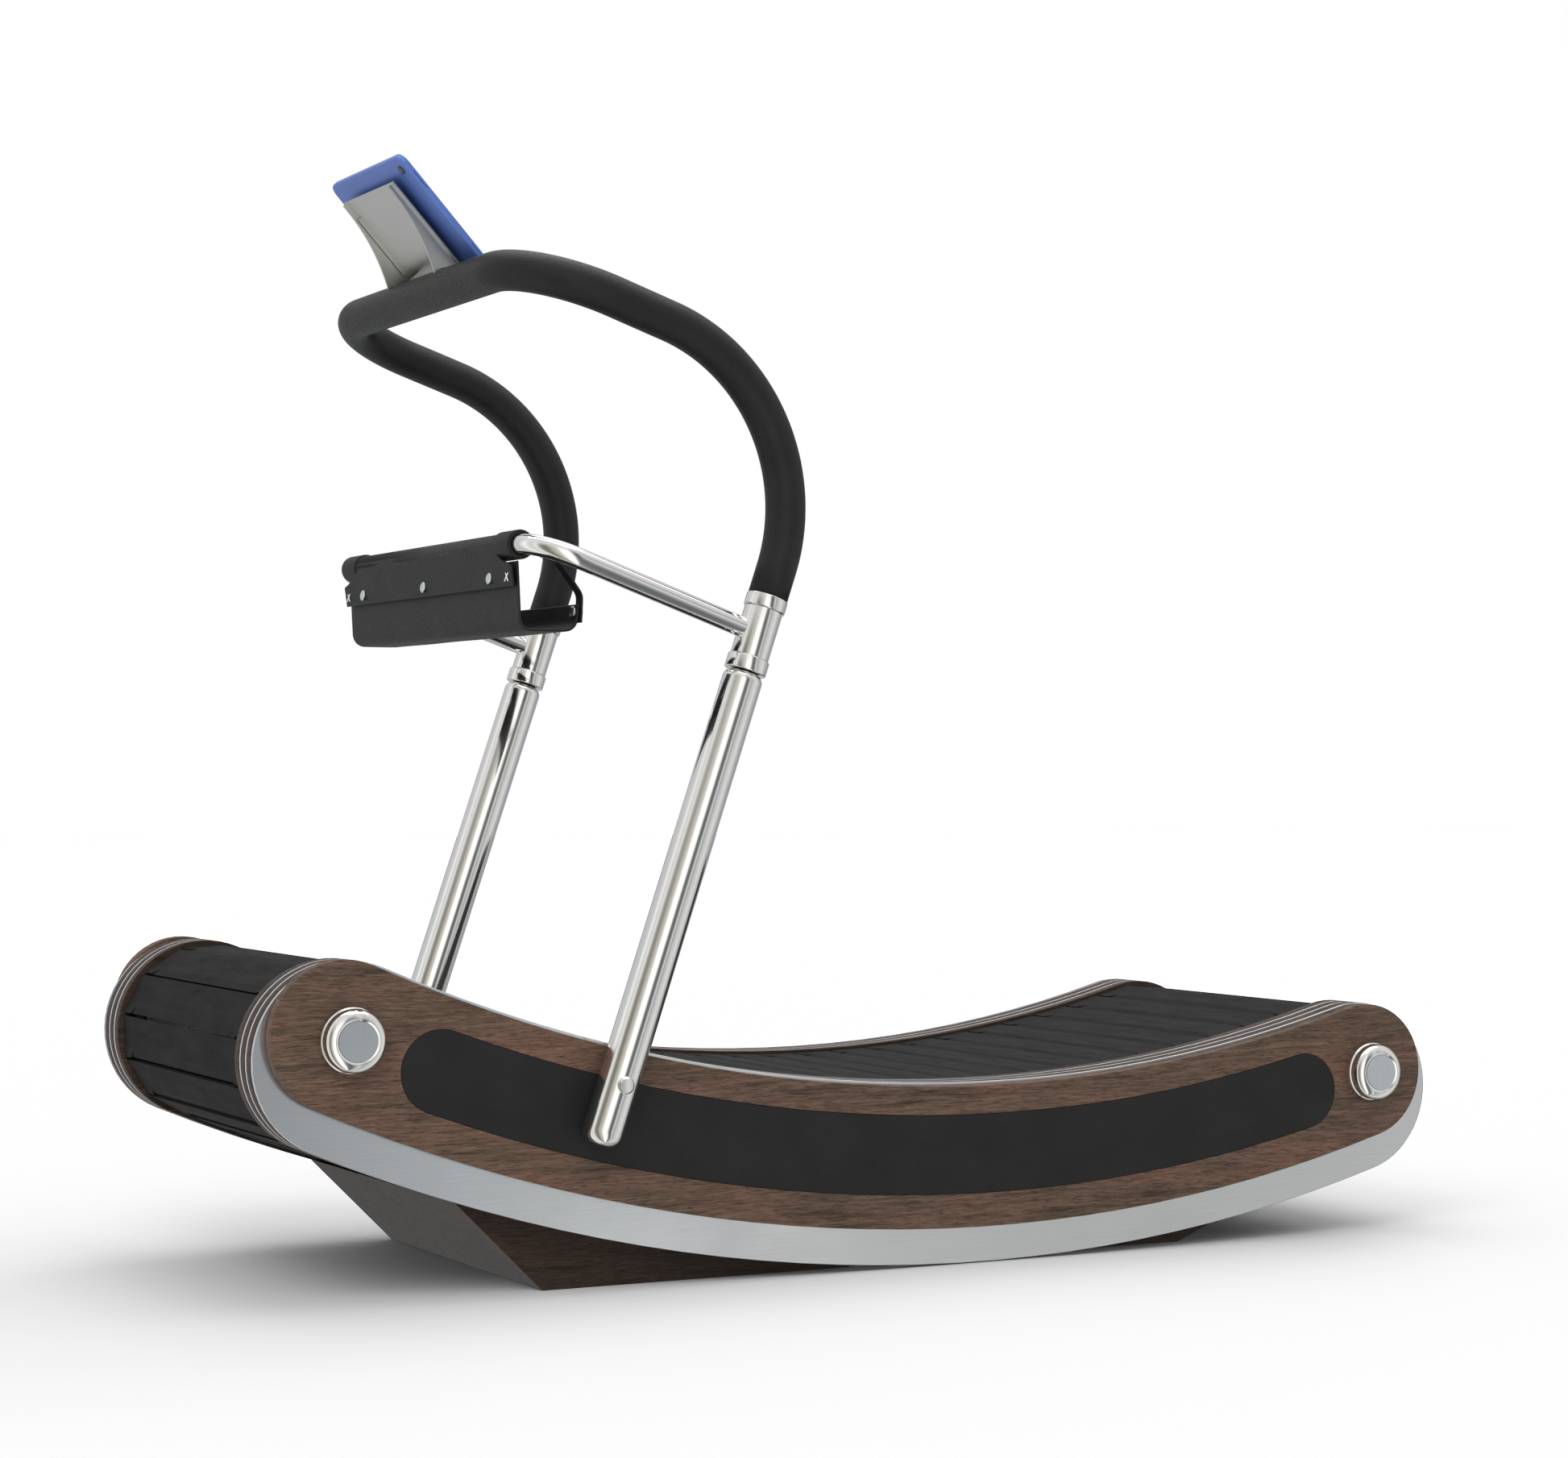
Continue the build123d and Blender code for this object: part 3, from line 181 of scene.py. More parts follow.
def walnut(name, tone=1.0):
    """Oiled walnut: grain along X, fine pores, warm and dark patches."""
    m = Nodes(name)
    wave = m.noise(1.0, 3, 0.5, m.stretched((2.2, 2.2, 9.0)))
    warp = m.add("ShaderNodeVectorMath")
    warp.operation = "ADD"
    m.put(warp.inputs[0], m.coords)
    m.put(warp.inputs[1], m.ramp(wave, (0.0, 0.0), (1.0, 0.035)))
    grain_at = warp.outputs[0]
    bands = m.noise(1.0, 6, 0.62, m.stretched((6.0, 30.0, 150.0), grain_at))
    fibres = m.noise(1.0, 4, 0.6, m.stretched((28.0, 260.0, 620.0), grain_at))
    pores = m.noise(1.0, 2, 0.5, m.stretched((70.0, 700.0, 1150.0), grain_at))
    patch = m.noise(1.0, 3, 0.55, m.stretched((5.0, 8.0, 22.0)))
    dark = tuple(tone * c for c in (0.036, 0.024, 0.017))
    mid = tuple(tone * c for c in (0.082, 0.053, 0.036))
    light = tuple(tone * c for c in (0.128, 0.083, 0.057))
    red = tuple(tone * c for c in (0.132, 0.070, 0.050))
    base = m.ramp(bands, (0.30, dark), (0.47, mid), (0.72, light))
    base = m.mix(m.ramp(patch, (0.42, 0.0), (0.66, 0.75)), base, red)
    fibre = m.ramp(fibres, (0.32, 0.48), (0.5, 0.96), (0.68, 1.36))
    base = m.mix(0.85, base, fibre, "MULTIPLY")
    pore = m.ramp(pores, (0.36, 0.34), (0.46, 1.0))
    base = m.mix(0.75, base, pore, "MULTIPLY")
    m.set(Base_Color=base, Roughness=m.ramp(fibres, (0.3, 0.55), (0.7, 0.42)))
    m.shader.inputs["Specular IOR Level"].default_value = 0.18
    m.bump(m.mix(0.5, fibre, pore), 0.35, 0.0006)
    return m.material


def leather(name, tone=0.012, scale=900.0, strength=0.35, rough=0.52):
    """Black leather: pebbled grain with fine creases and a soft gloss."""
    m = Nodes(name)
    pebble = m.cells(scale)
    crease = m.noise(scale * 0.45, 4, 0.6)
    patch = m.noise(14.0, 3, 0.5)
    shade = m.ramp(patch, (0.3, tone * 0.86), (0.7, tone * 1.16))
    edge = m.ramp(pebble, (0.25, 1.0), (0.8, 0.72))
    base = m.mix(0.7, shade, edge, "MULTIPLY")
    gloss = m.ramp(crease, (0.35, rough + 0.08), (0.65, rough - 0.08))
    m.set(Base_Color=base, Roughness=gloss)
    m.shader.inputs["Specular IOR Level"].default_value = 0.22
    height = m.mix(0.45, m.ramp(pebble, (0.0, 1.0), (0.75, 0.0)), m.ramp(crease, (0.3, 0.0), (0.7, 1.0)))
    m.bump(height, strength, 0.0005)
    return m.material


def steel(name, tone=(0.80, 0.79, 0.77), rough=0.10, brush=(400.0, 400.0, 12.0), strength=0.04):
    """Polished or brushed metal with faint streaks from its finishing."""
    m = Nodes(name)
    streak = m.noise(1.0, 3, 0.6, m.stretched(brush))
    smear = m.noise(9.0, 3, 0.5)
    low = tuple(c * 0.94 for c in tone)
    m.set(Base_Color=m.mix(m.ramp(streak, (0.3, 0.0), (0.7, 1.0)), low, tone))
    m.set(Metallic=1.0, Roughness=m.ramp(smear, (0.3, rough * 0.85), (0.7, rough * 1.2)))
    m.bump(streak, strength, 0.0002)
    return m.material


def rubber(name, tone=0.016, rough=0.62):
    """Matt black slat surface with a very fine moulded texture and light scuffs."""
    m = Nodes(name)
    fine = m.noise(2600.0, 2, 0.5)
    scuff = m.noise(1.0, 4, 0.6, m.stretched((60.0, 12.0, 60.0)))
    m.set(Base_Color=m.ramp(scuff, (0.3, tone * 0.88), (0.75, tone * 1.2)))
    m.set(Roughness=m.ramp(scuff, (0.3, rough + 0.06), (0.8, rough - 0.08)))
    m.shader.inputs["Specular IOR Level"].default_value = 0.08
    m.bump(fine, 0.12, 0.0003)
    return m.material


def coated(name, color, rough, metallic=0.0, grain=3200.0):
    """Anodised or moulded surface with a fine bead-blasted texture."""
    m = Nodes(name)
    fine = m.noise(grain, 2, 0.5)
    patch = m.noise(20.0, 2, 0.5)
    low = tuple(c * 0.93 for c in color)
    m.set(Base_Color=m.mix(m.ramp(patch, (0.35, 0.0), (0.65, 1.0)), low, color))
    m.set(Roughness=m.ramp(fine, (0.3, rough * 0.9), (0.7, rough * 1.12)))
    m.shader.inputs["Metallic"].default_value = metallic
    m.bump(fine, 0.06, 0.0002)
    return m.material


def glass(name):
    """Black display glass with faint smudges."""
    m = Nodes(name)
    smudge = m.noise(16.0, 4, 0.6)
    m.set(Base_Color=m.ramp(smudge, (0.3, (0.004, 0.004, 0.005)), (0.7, (0.008, 0.008, 0.010))))
    m.set(Roughness=m.ramp(smudge, (0.35, 0.05), (0.75, 0.14)))
    return m.material


MATERIALS = {
    "walnut": walnut("walnut"),
    # the base blocks' walnut at 0.34 tone: a darker copy of the same wood, painted shade for the low blocks
    "base_walnut_painted_shade": walnut("base_walnut_painted_shade", 0.34),
    "layer_walnut": walnut("layer_walnut", 0.42),
    "leather": leather("leather"),
    "grip_leather": leather("grip_leather", 0.011, 620.0, 0.55, 0.44),
    "inlay_leather": leather("inlay_leather", 0.012, 1300.0, 0.22, 0.6),
    "polished": steel("polished"),
    "plate": steel("plate", (0.76, 0.775, 0.785), 0.20, (14.0, 500.0, 900.0), 0.05),
    "layer": steel("layer", (0.86, 0.86, 0.86), 0.34, (14.0, 900.0, 900.0), 0.05),
    "satin": steel("satin", (0.66, 0.70, 0.73), 0.30, (700.0, 700.0, 10.0), 0.10),
    "holder": steel("holder", (0.56, 0.56, 0.54), 0.34, (500.0, 500.0, 20.0), 0.05),
    "plain": steel("plain", (0.5, 0.5, 0.5), 0.35),
    "slat": rubber("slat", 0.013, 0.7),
    "belt": rubber("belt", 0.016, 0.7),
    "blue": coated("blue", (0.085, 0.155, 0.44), 0.42, 0.35),
    "glass": glass("glass"),
    "lens": coated("lens", (0.01, 0.012, 0.02), 0.12),
    "thread": coated("thread", (0.62, 0.61, 0.58), 0.7, 0.0, 1500.0),
}

SLOT_MATERIAL = {
    "walnut": "walnut", "aluminium": "layer", "polished_steel": "polished", "satin_steel": "satin",
    "plain_steel": "plain", "holder_metal": "holder", "black_leather": "leather", "slat_rubber": "slat",
    "belt_rubber": "belt", "blue_case": "blue", "screen": "glass", "lens": "lens",
}
NODE_MATERIAL = {
    # the base blocks get the walnut darkened as painted shade
    "front_base": "base_walnut_painted_shade", "rear_base": "base_walnut_painted_shade",
    "left_wood_layers": "layer_walnut", "right_wood_layers": "layer_walnut",
    "left_side_plate": "plate", "right_side_plate": "plate",
    "left_leather_inlay": "inlay_leather", "right_leather_inlay": "inlay_leather",
}
# nodes whose visible edges are rounded a little: node ending -> edge radius
SOFT_EDGES = {
    "_walnut_cover": 0.0012, "_wood_layers": 0.0005, "_metal_sheets": 0.0004,
    "_side_plate": 0.0006, "_base": 0.0012, "tablet_holder": 0.0005,
}


def dress_cad_nodes():
    slots = {row["node"]: row["material_slot"] for row in frame["record"]["subparts"]}
    for name, node in frame["nodes"].items():
        key = NODE_MATERIAL.get(name, SLOT_MATERIAL[slots[name]])
        node.data.materials.clear()
        node.data.materials.append(MATERIALS[key])
        for ending, radius in SOFT_EDGES.items():
            if name.endswith(ending):
                weld = node.modifiers.new("weld", "WELD")
                weld.merge_threshold = 0.00001
                bevel = node.modifiers.new("edge", "BEVEL")
                bevel.width = radius
                bevel.segments = 2
                bevel.limit_method = "ANGLE"
                bevel.angle_limit = radians(28)
                bevel.harden_normals = True


# ------------------------------------------------------------------ mesh helpers
def piece(name, mesh, material, replaces=()):
    """Makes a mesh object, gives it its material and puts it on the root body."""
    for face in mesh.polygons:
        face.use_smooth = True
    mesh.materials.append(MATERIALS[material])
    obj = bpy.data.objects.new(name, mesh)
    bpy.context.scene.collection.objects.link(obj)
    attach(obj, "root")
    if replaces:
        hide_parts(*replaces)
    return obj


def mesh_of(name, vertices, faces):
    mesh = bpy.data.meshes.new(name)
    mesh.from_pydata([tuple(v) for v in vertices], [], faces)
    mesh.update()
    return mesh


def arc_points(centre, start, end, steps):
    """Points of the circular arc about a centre from start to end, both included."""
    a, b = start - centre, end - centre
    angle = a.angle(b)
    axis = a.cross(b).normalized()
    return [centre + Matrix.Rotation(angle * k / steps, 3, axis) @ a for k in range(steps + 1)]


def rounded_path(corners, radii, step=0.006):
    """A path of straight runs joined by tangent arcs."""
    corners = [Vector(c) for c in corners]
    path = [corners[0]]
    for before, corner, after, radius in zip(corners, corners[1:], corners[2:], radii):
        u, w = (before - corner).normalized(), (after - corner).normalized()
        half = u.angle(w) / 2
        reach = radius / tan(half)
        centre = corner + (u + w).normalized() * (radius / sin(half))
        steps = max(8, int(radius * (pi - 2 * half) / step))
        path += arc_points(centre, corner + u * reach, corner + w * reach, steps)
    path.append(corners[-1])
    dense = [path[0]]
    for a, b in zip(path, path[1:]):
        count = max(1, int((b - a).length / (4 * step)))
        dense += [a.lerp(b, (k + 1) / count) for k in range(count)]
    return dense


def tube_frames(path):
    """A pair of cross directions at each point, turning as little as possible."""
    tangents = []
    for k in range(len(path)):
        a, b = path[max(k - 1, 0)], path[min(k + 1, len(path) - 1)]
        tangents.append((b - a).normalized())
    side = Vector((0, 1, 0))
    if abs(tangents[0].dot(side)) > 0.9:
        side = Vector((1, 0, 0))
    frames = []
    for t in tangents:
        side = (side - t * side.dot(t)).normalized()
        frames.append((t, side, t.cross(side)))
    return frames


def tube_mesh(name, path, radius, segments=ROUND):
    """A round tube's skin along a path, closed at both ends."""
    vertices, faces = [], []
    frames = tube_frames(path)
    for p, (_, a, b) in zip(path, frames):
        for j in range(segments):
            t = 2 * pi * j / segments
            vertices.append(p + a * (radius * cos(t)) + b * (radius * sin(t)))
    for k in range(len(path) - 1):
        for j in range(segments):
            i, n = k * segments + j, k * segments + (j + 1) % segments
            faces.append((i, n, n + segments, i + segments))
    faces.append(tuple(reversed(range(segments))))
    faces.append(tuple(range((len(path) - 1) * segments, len(path) * segments)))
    return mesh_of(name, vertices, faces)


def turned_mesh(name, profile, origin, axis, segments=ROUND):
    """A turned solid; the profile lists (distance along the axis, radius), from end to end."""
    axis = Vector(axis).normalized()
    side = axis.orthogonal().normalized()
    other = axis.cross(side)
    vertices, faces, rings = [], [], []
    for along, radius in profile:
        centre = Vector(origin) + axis * along
        if radius < 1e-6:
            rings.append([len(vertices)])
            vertices.append(centre)
            continue
        rings.append(list(range(len(vertices), len(vertices) + segments)))
        for j in range(segments):
            t = 2 * pi * j / segments
            vertices.append(centre + side * (radius * cos(t)) + other * (radius * sin(t)))
    for low, high in zip(rings, rings[1:]):
        for j in range(segments):
            n = (j + 1) % segments
            if len(low) == 1 and len(high) > 1:
                faces.append((low[0], high[n], high[j]))
            elif len(high) == 1 and len(low) > 1:
                faces.append((low[j], low[n], high[0]))
            elif len(low) > 1:
                faces.append((low[j], low[n], high[n], high[j]))
    return mesh_of(name, vertices, faces)


def rounded_profile(points, steps=8):
    """A profile whose corners are rounded: each point is (along, radius, corner radius)."""
    out = [(points[0][0], points[0][1])]
    for before, (x, y, r), after in zip(points, points[1:], points[2:]):
        corner = Vector((x, y, 0))
        u = (Vector((before[0], before[1], 0)) - corner).normalized()
        w = (Vector((after[0], after[1], 0)) - corner).normalized()
        if r <= 0:
            out.append((x, y))
            continue
        half = u.angle(w) / 2
        centre = corner + (u + w).normalized() * (r / sin(half))
        reach = r / tan(half)
        for p in arc_points(centre, corner + u * reach, corner + w * reach, steps):
            out.append((p.x, p.y))
    out.append((points[-1][0], points[-1][1]))
    return out


def merge(name, meshes):
    """Joins meshes into one."""
    bm = bmesh.new()
    for mesh in meshes:
        bm.from_mesh(mesh)
        bpy.data.meshes.remove(mesh)
    joined = bpy.data.meshes.new(name)
    bm.to_mesh(joined)
    bm.free()
    return joined


# ------------------------------------------------------------------ steel tubes
def upright_at(side, z):
    return Vector((UPRIGHT_X0 + UPRIGHT_SLOPE * z, side * UPRIGHT_Y, z))


def turned_on_upright(name, side, z, profile):
    return turned_mesh(name, profile, upright_at(side, z), LEAN)


def make_uprights():
    length = (SHOULDER_Z - FOOT_Z) / LEAN.z
    for name, side in SIDES:
        tube = rounded_profile([
            (0, 0, 0), (0, TUBE_R, 0.020), (length, TUBE_R, 0.0125), (length, 0.010, 0),
        ], 14)
        mesh = turned_on_upright(f"{name}_upright_tube", side, FOOT_Z, tube)
        piece(f"{name}_upright_tube", mesh, "polished", replaces=[f"{name}_upright"])
        rings = (
            ("lower_collar", 0.835, 0.854, 0.0292, 0.0014, 0.014),
            ("socket", 0.8545, 0.9197, 0.02675, 0.0008, 0.022),
            ("upper_collar", 0.920, 0.937, 0.0290, 0.0014, 0.022),
        )
        for ring, z0, z1, radius, edge, inner in rings:
            high = (z1 - z0) / LEAN.z
            profile = rounded_profile([
                (0, inner, 0), (0, radius, edge), (high, radius, edge), (high, inner, 0),
            ], 4)
            mesh = turned_on_upright(f"{name}_{ring}_ring", side, z0, profile)
            piece(f"{name}_{ring}_ring", mesh, "polished", replaces=[f"{name}_{ring}"])


def make_handle():
    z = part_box("left_upper_collar")[1].z - 0.0085
    root = [HANDLE_BEND, HANDLE_BAR]
    left = [tuple(upright_at(-1, z))] + [(x, -UPRIGHT_Y, zz) for x, zz in root]
    right = [(x, UPRIGHT_Y, zz) for x, zz in reversed(root)] + [tuple(upright_at(1, z))]
    radii = [HANDLE_ARC_R, HANDLE_CORNER_R, HANDLE_CORNER_R, HANDLE_ARC_R]
    path = rounded_path(left + right, radii)
    mesh = tube_mesh("handle_leather", path, GRIP_R)
    piece("handle_leather", mesh, "grip_leather", replaces=["handle_grip"])


def make_cross_bar():
    left = [(BAR_ROOT[0], -UPRIGHT_Y, BAR_ROOT[1]), (BAR[0], -UPRIGHT_Y, BAR[1])]
    right = [(x, -y, z) for x, y, z in reversed(left)]
    path = rounded_path(left + right, [BAR_CORNER_R, BAR_CORNER_R], 0.004)
    mesh = tube_mesh("cross_bar_tube", path, BAR_R, 64)
    piece("cross_bar_tube", mesh, "polished", replaces=["cross_bar"])


def make_caps():
    rings = (
        (0.0, 0.0430, 0.0005), (0.0008, 0.0435, 0.0004), (0.0118, 0.0435, 0.0022),
        (0.0124, 0.0416, 0.0004), (0.0140, 0.0418, 0.0006), (CAP_HEIGHT - 0.0035, 0.0418, 0.0120),
        (CAP_HEIGHT, 0.0300, 0.0022),
    )
    for end in ("front", "rear"):
        for name, side in SIDES:
            low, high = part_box(f"{name}_{end}_cap")
            middle = (low + high) / 2
            origin = (middle.x, side * abs(COVER_FACE), middle.z)
            recess = ((CAP_HEIGHT - 0.0015, 0.0267, 0.0006), (0.02, 0.0266, 0))
            profile = rounded_profile([(0, 0.026, 0), *rings, *recess], 6)
            boss = f"{name}_{end}_boss"
            mesh = turned_mesh(boss, profile, origin, (0, side, 0))
            piece(boss, mesh, "polished", replaces=[f"{name}_{end}_cap"])


def make_bolt_heads():
    meshes = []
    low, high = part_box("upright_bolts")
    z, x = (low.z + high.z) / 2, (low.x + high.x) / 2
    for _, side in SIDES:
        start = UPRIGHT_Y + 0.017
        top = high.y - start
        profile = rounded_profile([
            (0, 0.004, 0), (0, 0.0120, 0), (top - 0.0030, 0.0120, 0.0012), (top, 0.0092, 0.0010), (top, 0, 0),
        ], 5)
        meshes.append(turned_mesh("bolt", profile, (x, side * start, z), (0, side, 0), 64))
    mesh = merge("upright_bolt_heads", meshes)
    piece("upright_bolt_heads", mesh, "polished", replaces=["upright_bolts"])


# ------------------------------------------------------------------ leather goods
def steps_to(low, high, edge, count):
    """Values from low to high, close together near both ends so that edges can round over."""
    near = [edge * t for t in (0, 0.06, 0.2, 0.45, 0.75, 1.0)]
    span = high - low - 2 * edge
    middle = [edge + span * k / count for k in range(1, count)]
    return [low + t for t in near + middle] + [high - t for t in reversed(near)]


def leather_sheet(name, route, thickness, half_width, y0=0.0, columns=64, ripple=0.0, step=0.004):
    """A cut sheet of leather with rounded edges that follows a route in the XZ plane."""
    line = [Vector(p) for p in route]
    lengths = [0.0]
    for a, b in zip(line, line[1:]):
        lengths.append(lengths[-1] + (b - a).length)
    total, edge = lengths[-1], thickness / 2

    def at(s):
        k = next((i for i in range(1, len(line)) if lengths[i] >= s), len(line) - 1)
        share = (s - lengths[k - 1]) / max(lengths[k] - lengths[k - 1], 1e-9)
        along = (line[k] - line[k - 1]).normalized()
        return line[k - 1].lerp(line[k], share), Vector((-along.z, 0, along.x))

    rows = steps_to(0, total, edge, max(4, int(total / step)))
    front, back, faces = [], [], []
    for s in rows:
        point, normal = at(s)
        wide = half_width(point.z) if callable(half_width) else half_width
        for y in steps_to(-wide, wide, edge, columns):
            inside = min(s, total - s, wide - abs(y)) / edge
            h = edge * sqrt(max(0.0, 1 - (1 - min(inside, 1)) ** 2))
            wave = ripple * noise.noise(Vector((y * 9 + y0 * 31, s * 14, thickness * 900)))
            centre = Vector((point.x, y0 + y, point.z)) + normal * wave
            front.append(centre + normal * h)
            back.append(centre - normal * h)
    across = len(front) // len(rows)
    shift = len(front)
    for i in range(len(rows) - 1):
        for j in range(across - 1):
            a = i * across + j
            quad = (a, a + 1, a + across + 1, a + across)
            faces.append(quad)
            faces.append(tuple(shift + v for v in reversed(quad)))
    mesh = mesh_of(name, front + back, faces)
    bm = bmesh.new()
    bm.from_mesh(mesh)
    bmesh.ops.remove_doubles(bm, verts=bm.verts, dist=0.000002)
    bmesh.ops.recalc_face_normals(bm, faces=bm.faces)
    bm.to_mesh(mesh)
    bm.free()
    return mesh, total


def flap_half_width(z):
    """The flap's upper corners are cut away in a hollow curve down to the tabs."""
    if z >= FLAP_CUT[0][1]:
        return FLAP_CUT[0][0]
    if z <= FLAP_CUT[1][1]:
        return POUCH_HALF
    (y0, z0), (y1, z1) = FLAP_CUT
    drop = (z0 - z) / (z0 - z1)
    return y0 + (y1 - y0) * (0.52 * drop + 0.48 * drop**4)


def xz(points):
    return [Vector((x, 0, z)) for x, z in points]


def make_leather_goods():
    sleeve = rounded_profile([
        (-POUCH_HALF, 0.0146, 0), (-POUCH_HALF, BAND_R, 0.0016), (-BAND_INNER, BAND_R, 0.0014),
        (-BAND_INNER + 0.0006, SLEEVE_R, 0), (BAND_INNER - 0.0006, SLEEVE_R, 0),
        (BAND_INNER, BAND_R, 0.0014), (POUCH_HALF, BAND_R, 0.0016), (POUCH_HALF, 0.0146, 0),
    ], 6)
    mesh = turned_mesh("sleeve_leather", sleeve, (BAR[0], 0, BAR[1]), (0, 1, 0))
    piece("sleeve_leather", mesh, "leather", replaces=["bar_sleeve"])

    front = BAR[0] - SLEEVE_R + FLAP_THICK / 2
    route = xz([(front, BAR[1] + 0.005), (front, BAR[1] - 0.004), (front + 0.0012, BAR[1] - 0.020),
                (FLAP_FOOT[0] - FLAP_THICK / 2, FLAP_FOOT[1])])
    mesh, length = leather_sheet("flap_leather", route, FLAP_THICK, flap_half_width, ripple=RIPPLE)
    flap = piece("flap_leather", mesh, "leather")

    route = rounded_path([(x, 0, z) for x, z in POUCH_ROUTE], [0.017, 0.017], 0.002)
    mesh, length = leather_sheet("pouch_leather", route, POUCH_THICK, POUCH_HALF, ripple=RIPPLE)
    pouch = piece("pouch_leather", mesh, "leather", replaces=["pouch"])

    route = rounded_path([(x, 0, z) for x, z in STRAP_ROUTE], [0.030, 0.020], 0.002)
    for name, side in SIDES:
        at_y = side * (POUCH_HALF - STRAP_WIDTH / 2)
        label = f"{name}_strap_leather"
        mesh, length = leather_sheet(label, route, STRAP_THICK, STRAP_WIDTH / 2, at_y, 8)
        strap = piece(label, mesh, "leather", replaces=["pouch_straps"])


def make_inlays():
    """Leather panels let into the covers: flat faces with softly turned edges."""
    mid_r, half = (INLAY_TOP_R + INLAY_BOTTOM_R) / 2, (INLAY_BOTTOM_R - INLAY_TOP_R) / 2
    def edge_run(radius, start, end):
        angles = [radians(start + (end - start) * k / STRIP_STEPS) for k in range(STRIP_STEPS + 1)]
        return [(ARC_X + radius * sin(t), ARC_Z - radius * cos(t)) for t in angles]

    def round_end(radius, deg, way):
        t = radians(deg)
        cx, cz = ARC_X + mid_r * sin(t), ARC_Z - mid_r * cos(t)
        points = []
        for k in range(1, END_STEPS):
            turn = pi * k / END_STEPS
            down, along = -way * radius * cos(turn), way * radius * sin(turn)
            points.append((cx + down * sin(t) + along * cos(t), cz - down * cos(t) + along * sin(t)))
        return points

    def outline(inset):
        return (
            edge_run(INLAY_TOP_R + inset, -INLAY_FRONT_DEG, INLAY_REAR_DEG)
            + round_end(half - inset, INLAY_REAR_DEG, 1)
            + edge_run(INLAY_BOTTOM_R - inset, INLAY_REAR_DEG, -INLAY_FRONT_DEG)
            + round_end(half - inset, -INLAY_FRONT_DEG, -1)
        )

    for name, side in SIDES:
        verts, faces = [], []
        steps = [(0, INLAY_DEPTH), (0, INLAY_EDGE_R)]
        for k in range(1, 7):
            t = radians(15 * k)
            steps.append((INLAY_EDGE_R * (1 - cos(t)), INLAY_EDGE_R * (1 - sin(t))))
        for inset, down in steps:
            verts += [Vector((x, side * (abs(COVER_FACE) - down), z)) for x, z in outline(inset)]
        count = len(verts) // len(steps)
        for ring in range(len(steps) - 1):
            for k in range(count):
                a, b = ring * count + k, ring * count + (k + 1) % count
                faces.append((a, b, b + count, a + count))
        faces.append(tuple(range((len(steps) - 1) * count, len(steps) * count)))
        mesh = mesh_of(f"{name}_inlay", verts, faces)
        bm = bmesh.new()
        bm.from_mesh(mesh)
        bmesh.ops.recalc_face_normals(bm, faces=bm.faces)
        bm.to_mesh(mesh)
        bm.free()
        node = f"{name}_leather_inlay"
        panel = piece(f"{name}_inlay_panel", mesh, "inlay_leather", replaces=[node])


def make_rivets():
    """Low domed heads with a dished middle, front and back, as sewn leather goods have."""
    head = rounded_profile([
        (0, 0.0005, 0), (0, 0.0080, 0.0004), (0.0022, 0.0080, 0.0011), (0.0034, 0.0058, 0.0008),
        (0.0027, 0.0046, 0.0006), (0.0027, 0, 0),
    ], 4)
    places = [((RIVET_AT[0], y, RIVET_AT[1]), (-1, 0, RIVET_LEAN)) for y in RIVET_YS]
    for _, side in SIDES:
        y = side * (POUCH_HALF - STRAP_WIDTH / 2)
        places.append(((STRAP_RIVET[0], y, STRAP_RIVET[1]), (-1, 0, STRAP_RIVET_LEAN)))
    reaches = {1: RIVET_FRONT_REACH, -1: RIVET_BACK_REACH}
    meshes = []
    for at, axis in places:
        for way in (1, -1):
            out = Vector(axis).normalized() * way
            meshes.append(turned_mesh("rivet", head, Vector(at) + out * reaches[way], out, 40))
    mesh = merge("rivet_heads", meshes)
    piece("rivet_heads", mesh, "satin", replaces=["pouch_rivets"])


def make_stitches():
    """A small cross of light thread on each tab of the flap."""
    meshes = []
    out = Vector((-1, 0, RIVET_LEAN)).normalized()
    up = Vector((RIVET_LEAN, 0, 1)).normalized()
    shares = (-1, -0.8, -0.4, 0, 0.4, 0.8, 1)
    for _, side in SIDES:
        middle = Vector((RIVET_AT[0], side * STITCH_Y, RIVET_AT[1])) + out * STITCH_REACH
        for lean in (1, -1):
            arm = up * STITCH_ARM[1] + Vector((0, lean * STITCH_ARM[0], 0))
            path = [middle + arm * t + out * (0.0005 * (1 - t * t)) for t in shares]
            meshes.append(tube_mesh("thread", path, THREAD_R, 12))
    mesh = merge("cross_stitches", meshes)
    piece("cross_stitches", mesh, "thread")


# ------------------------------------------------------------------ floor, light, camera
def make_stage():
    bpy.ops.mesh.primitive_plane_add(size=60)
    floor = bpy.context.object
    floor.name = "floor"
    m = Nodes("floor_paper")
    m.set(Base_Color=(0.93, 0.93, 0.93, 1), Roughness=0.9)
    m.shader.inputs["Specular IOR Level"].default_value = 0.1
    floor.data.materials.append(m.material)
    floor.is_shadow_catcher = True
    floor.visible_glossy = False


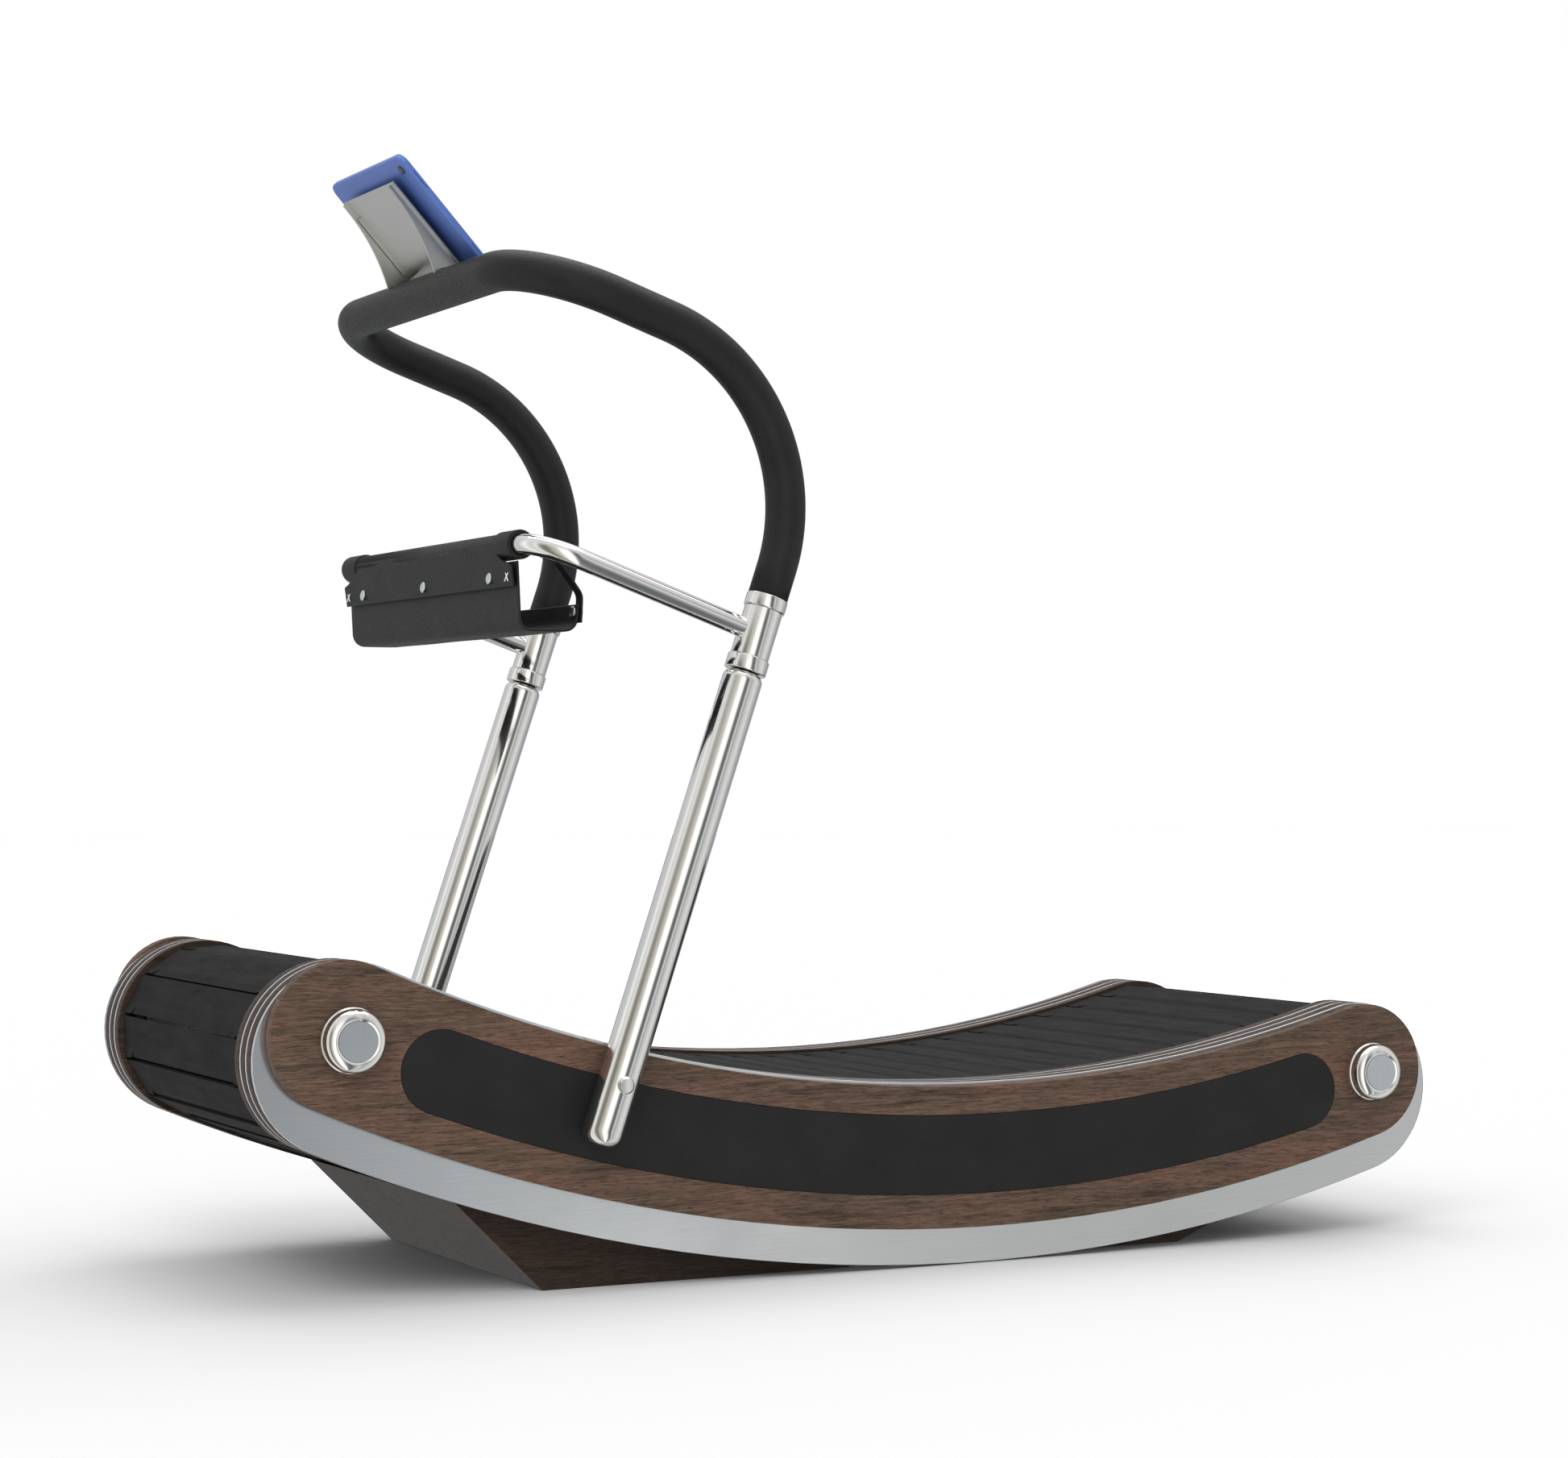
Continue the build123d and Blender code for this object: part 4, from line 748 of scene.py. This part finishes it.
def make_world():
    """White to the camera; light strips round the horizon for the metal to reflect."""
    world = bpy.data.worlds.new("studio")
    bpy.context.scene.world = world
    world.use_nodes = True
    tree = world.node_tree
    tree.nodes.clear()

    def add(kind):
        return tree.nodes.new(kind)

    def math(kind, a, b):
        node = add("ShaderNodeMath")
        node.operation = kind
        for socket, value in zip(node.inputs, (a, b)):
            if isinstance(value, bpy.types.NodeSocket):
                tree.links.new(value, socket)
            else:
                socket.default_value = value
        return node.outputs[0]

    split = add("ShaderNodeSeparateXYZ")
    tree.links.new(add("ShaderNodeTexCoord").outputs["Generated"], split.inputs[0])
    x, y, z = split.outputs
    # 0 at the back (+Y), 0.25 at the front of the machine, 0.5 towards the camera side (-Y)
    turn = math("ARCTAN2", x, math("MULTIPLY", y, -1.0))
    share = math("ADD", math("DIVIDE", turn, 2 * pi), 0.5)
    ramp = add("ShaderNodeValToRGB")
    tree.links.new(share, ramp.inputs["Fac"])
    # degrees from -Y towards +X, and the strip's colour
    strips = (
        (-180, (0.60, 0.61, 0.62)), (-128, (0.70, 0.71, 0.72)), (-112, (1.15, 1.15, 1.15)),
        (-95, (0.75, 0.75, 0.74)), (-82, (1.0, 1.0, 0.98)), (-70, (0.30, 0.29, 0.26)),
        (-58, (0.22, 0.21, 0.17)), (-46, (0.55, 0.52, 0.46)), (-34, (0.72, 0.70, 0.65)),
        (-24, (1.35, 1.35, 1.33)), (-4, (1.35, 1.35, 1.33)), (4, (0.22, 0.23, 0.23)),
        (15, (0.14, 0.15, 0.155)), (22, (0.50, 0.53, 0.55)), (26, (0.95, 0.94, 0.93)),
        (31, (0.42, 0.42, 0.41)), (42, (0.66, 0.66, 0.66)), (66, (0.88, 0.88, 0.87)),
        (84, (0.60, 0.62, 0.64)), (110, (0.34, 0.37, 0.38)), (150, (0.5, 0.51, 0.52)),
    )
    elements = ramp.color_ramp.elements
    while len(elements) < len(strips):
        elements.new(0.5)
    for element, (azimuth, color) in zip(elements, strips):
        element.position = azimuth / 360 + 0.5
        element.color = (*color, 1)
    sky = add("ShaderNodeMix")
    sky.data_type = "RGBA"
    up = add("ShaderNodeMapRange")
    tree.links.new(z, up.inputs["Value"])
    up.inputs["From Min"].default_value = 0.30
    up.inputs["From Max"].default_value = 0.75
    tree.links.new(up.outputs[0], sky.inputs["Factor"])
    tree.links.new(ramp.outputs["Color"], sky.inputs[6])
    sky.inputs[7].default_value = (0.85, 0.85, 0.86, 1)
    lit = add("ShaderNodeBackground")
    tree.links.new(sky.outputs[2], lit.inputs["Color"])
    lit.inputs["Strength"].default_value = 1.0
    seen = add("ShaderNodeBackground")
    seen.inputs["Color"].default_value = (1, 1, 1, 1)
    seen.inputs["Strength"].default_value = 1.0
    choose = add("ShaderNodeMixShader")
    tree.links.new(add("ShaderNodeLightPath").outputs["Is Camera Ray"], choose.inputs[0])
    tree.links.new(lit.outputs[0], choose.inputs[1])
    tree.links.new(seen.outputs[0], choose.inputs[2])
    tree.links.new(choose.outputs[0], add("ShaderNodeOutputWorld").inputs[0])


def area_light(name, at, target, size, power):
    """A soft box. Only the one overhead shows in reflections."""
    data = bpy.data.lights.new(name, "AREA")
    data.shape = "RECTANGLE"
    data.size, data.size_y = size
    data.energy = power
    lamp = bpy.data.objects.new(name, data)
    lamp.location = at
    lamp.rotation_euler = (Vector(target) - Vector(at)).to_track_quat("-Z", "Y").to_euler()
    lamp.visible_glossy = name == "top"
    bpy.context.scene.collection.objects.link(lamp)


def make_lights():
    area_light("key", (-3.2, -3.4, 3.6), (0, 0, 0.4), (2.6, 2.6), 150)
    area_light("top", (0.4, 0.2, 4.6), (0, 0, 0), (5.0, 4.0), 105)
    area_light("rear", (3.4, 2.2, 2.6), (0, 0, 0.4), (2.4, 2.0), 60)


def make_camera():
    data = bpy.data.cameras.new("camera")
    data.lens = CAMERA_LENS
    data.sensor_width = 36
    data.clip_end = 200
    camera = bpy.data.objects.new("camera", data)
    yaw, pitch = radians(CAMERA_YAW), radians(CAMERA_PITCH)
    forward = Vector((sin(yaw) * cos(pitch), cos(yaw) * cos(pitch), sin(pitch)))
    camera.location = CAMERA_AT
    camera.rotation_mode = "QUATERNION"
    camera.rotation_quaternion = forward.to_track_quat("-Z", "Y")
    bpy.context.scene.collection.objects.link(camera)
    bpy.context.scene.camera = camera
    bpy.context.scene.view_settings.view_transform = "Standard"


make_camera()
make_world()
make_lights()
make_stage()
dress_cad_nodes()
make_uprights()
make_handle()
make_cross_bar()
make_caps()
make_bolt_heads()
make_leather_goods()
make_inlays()
make_rivets()
make_stitches()
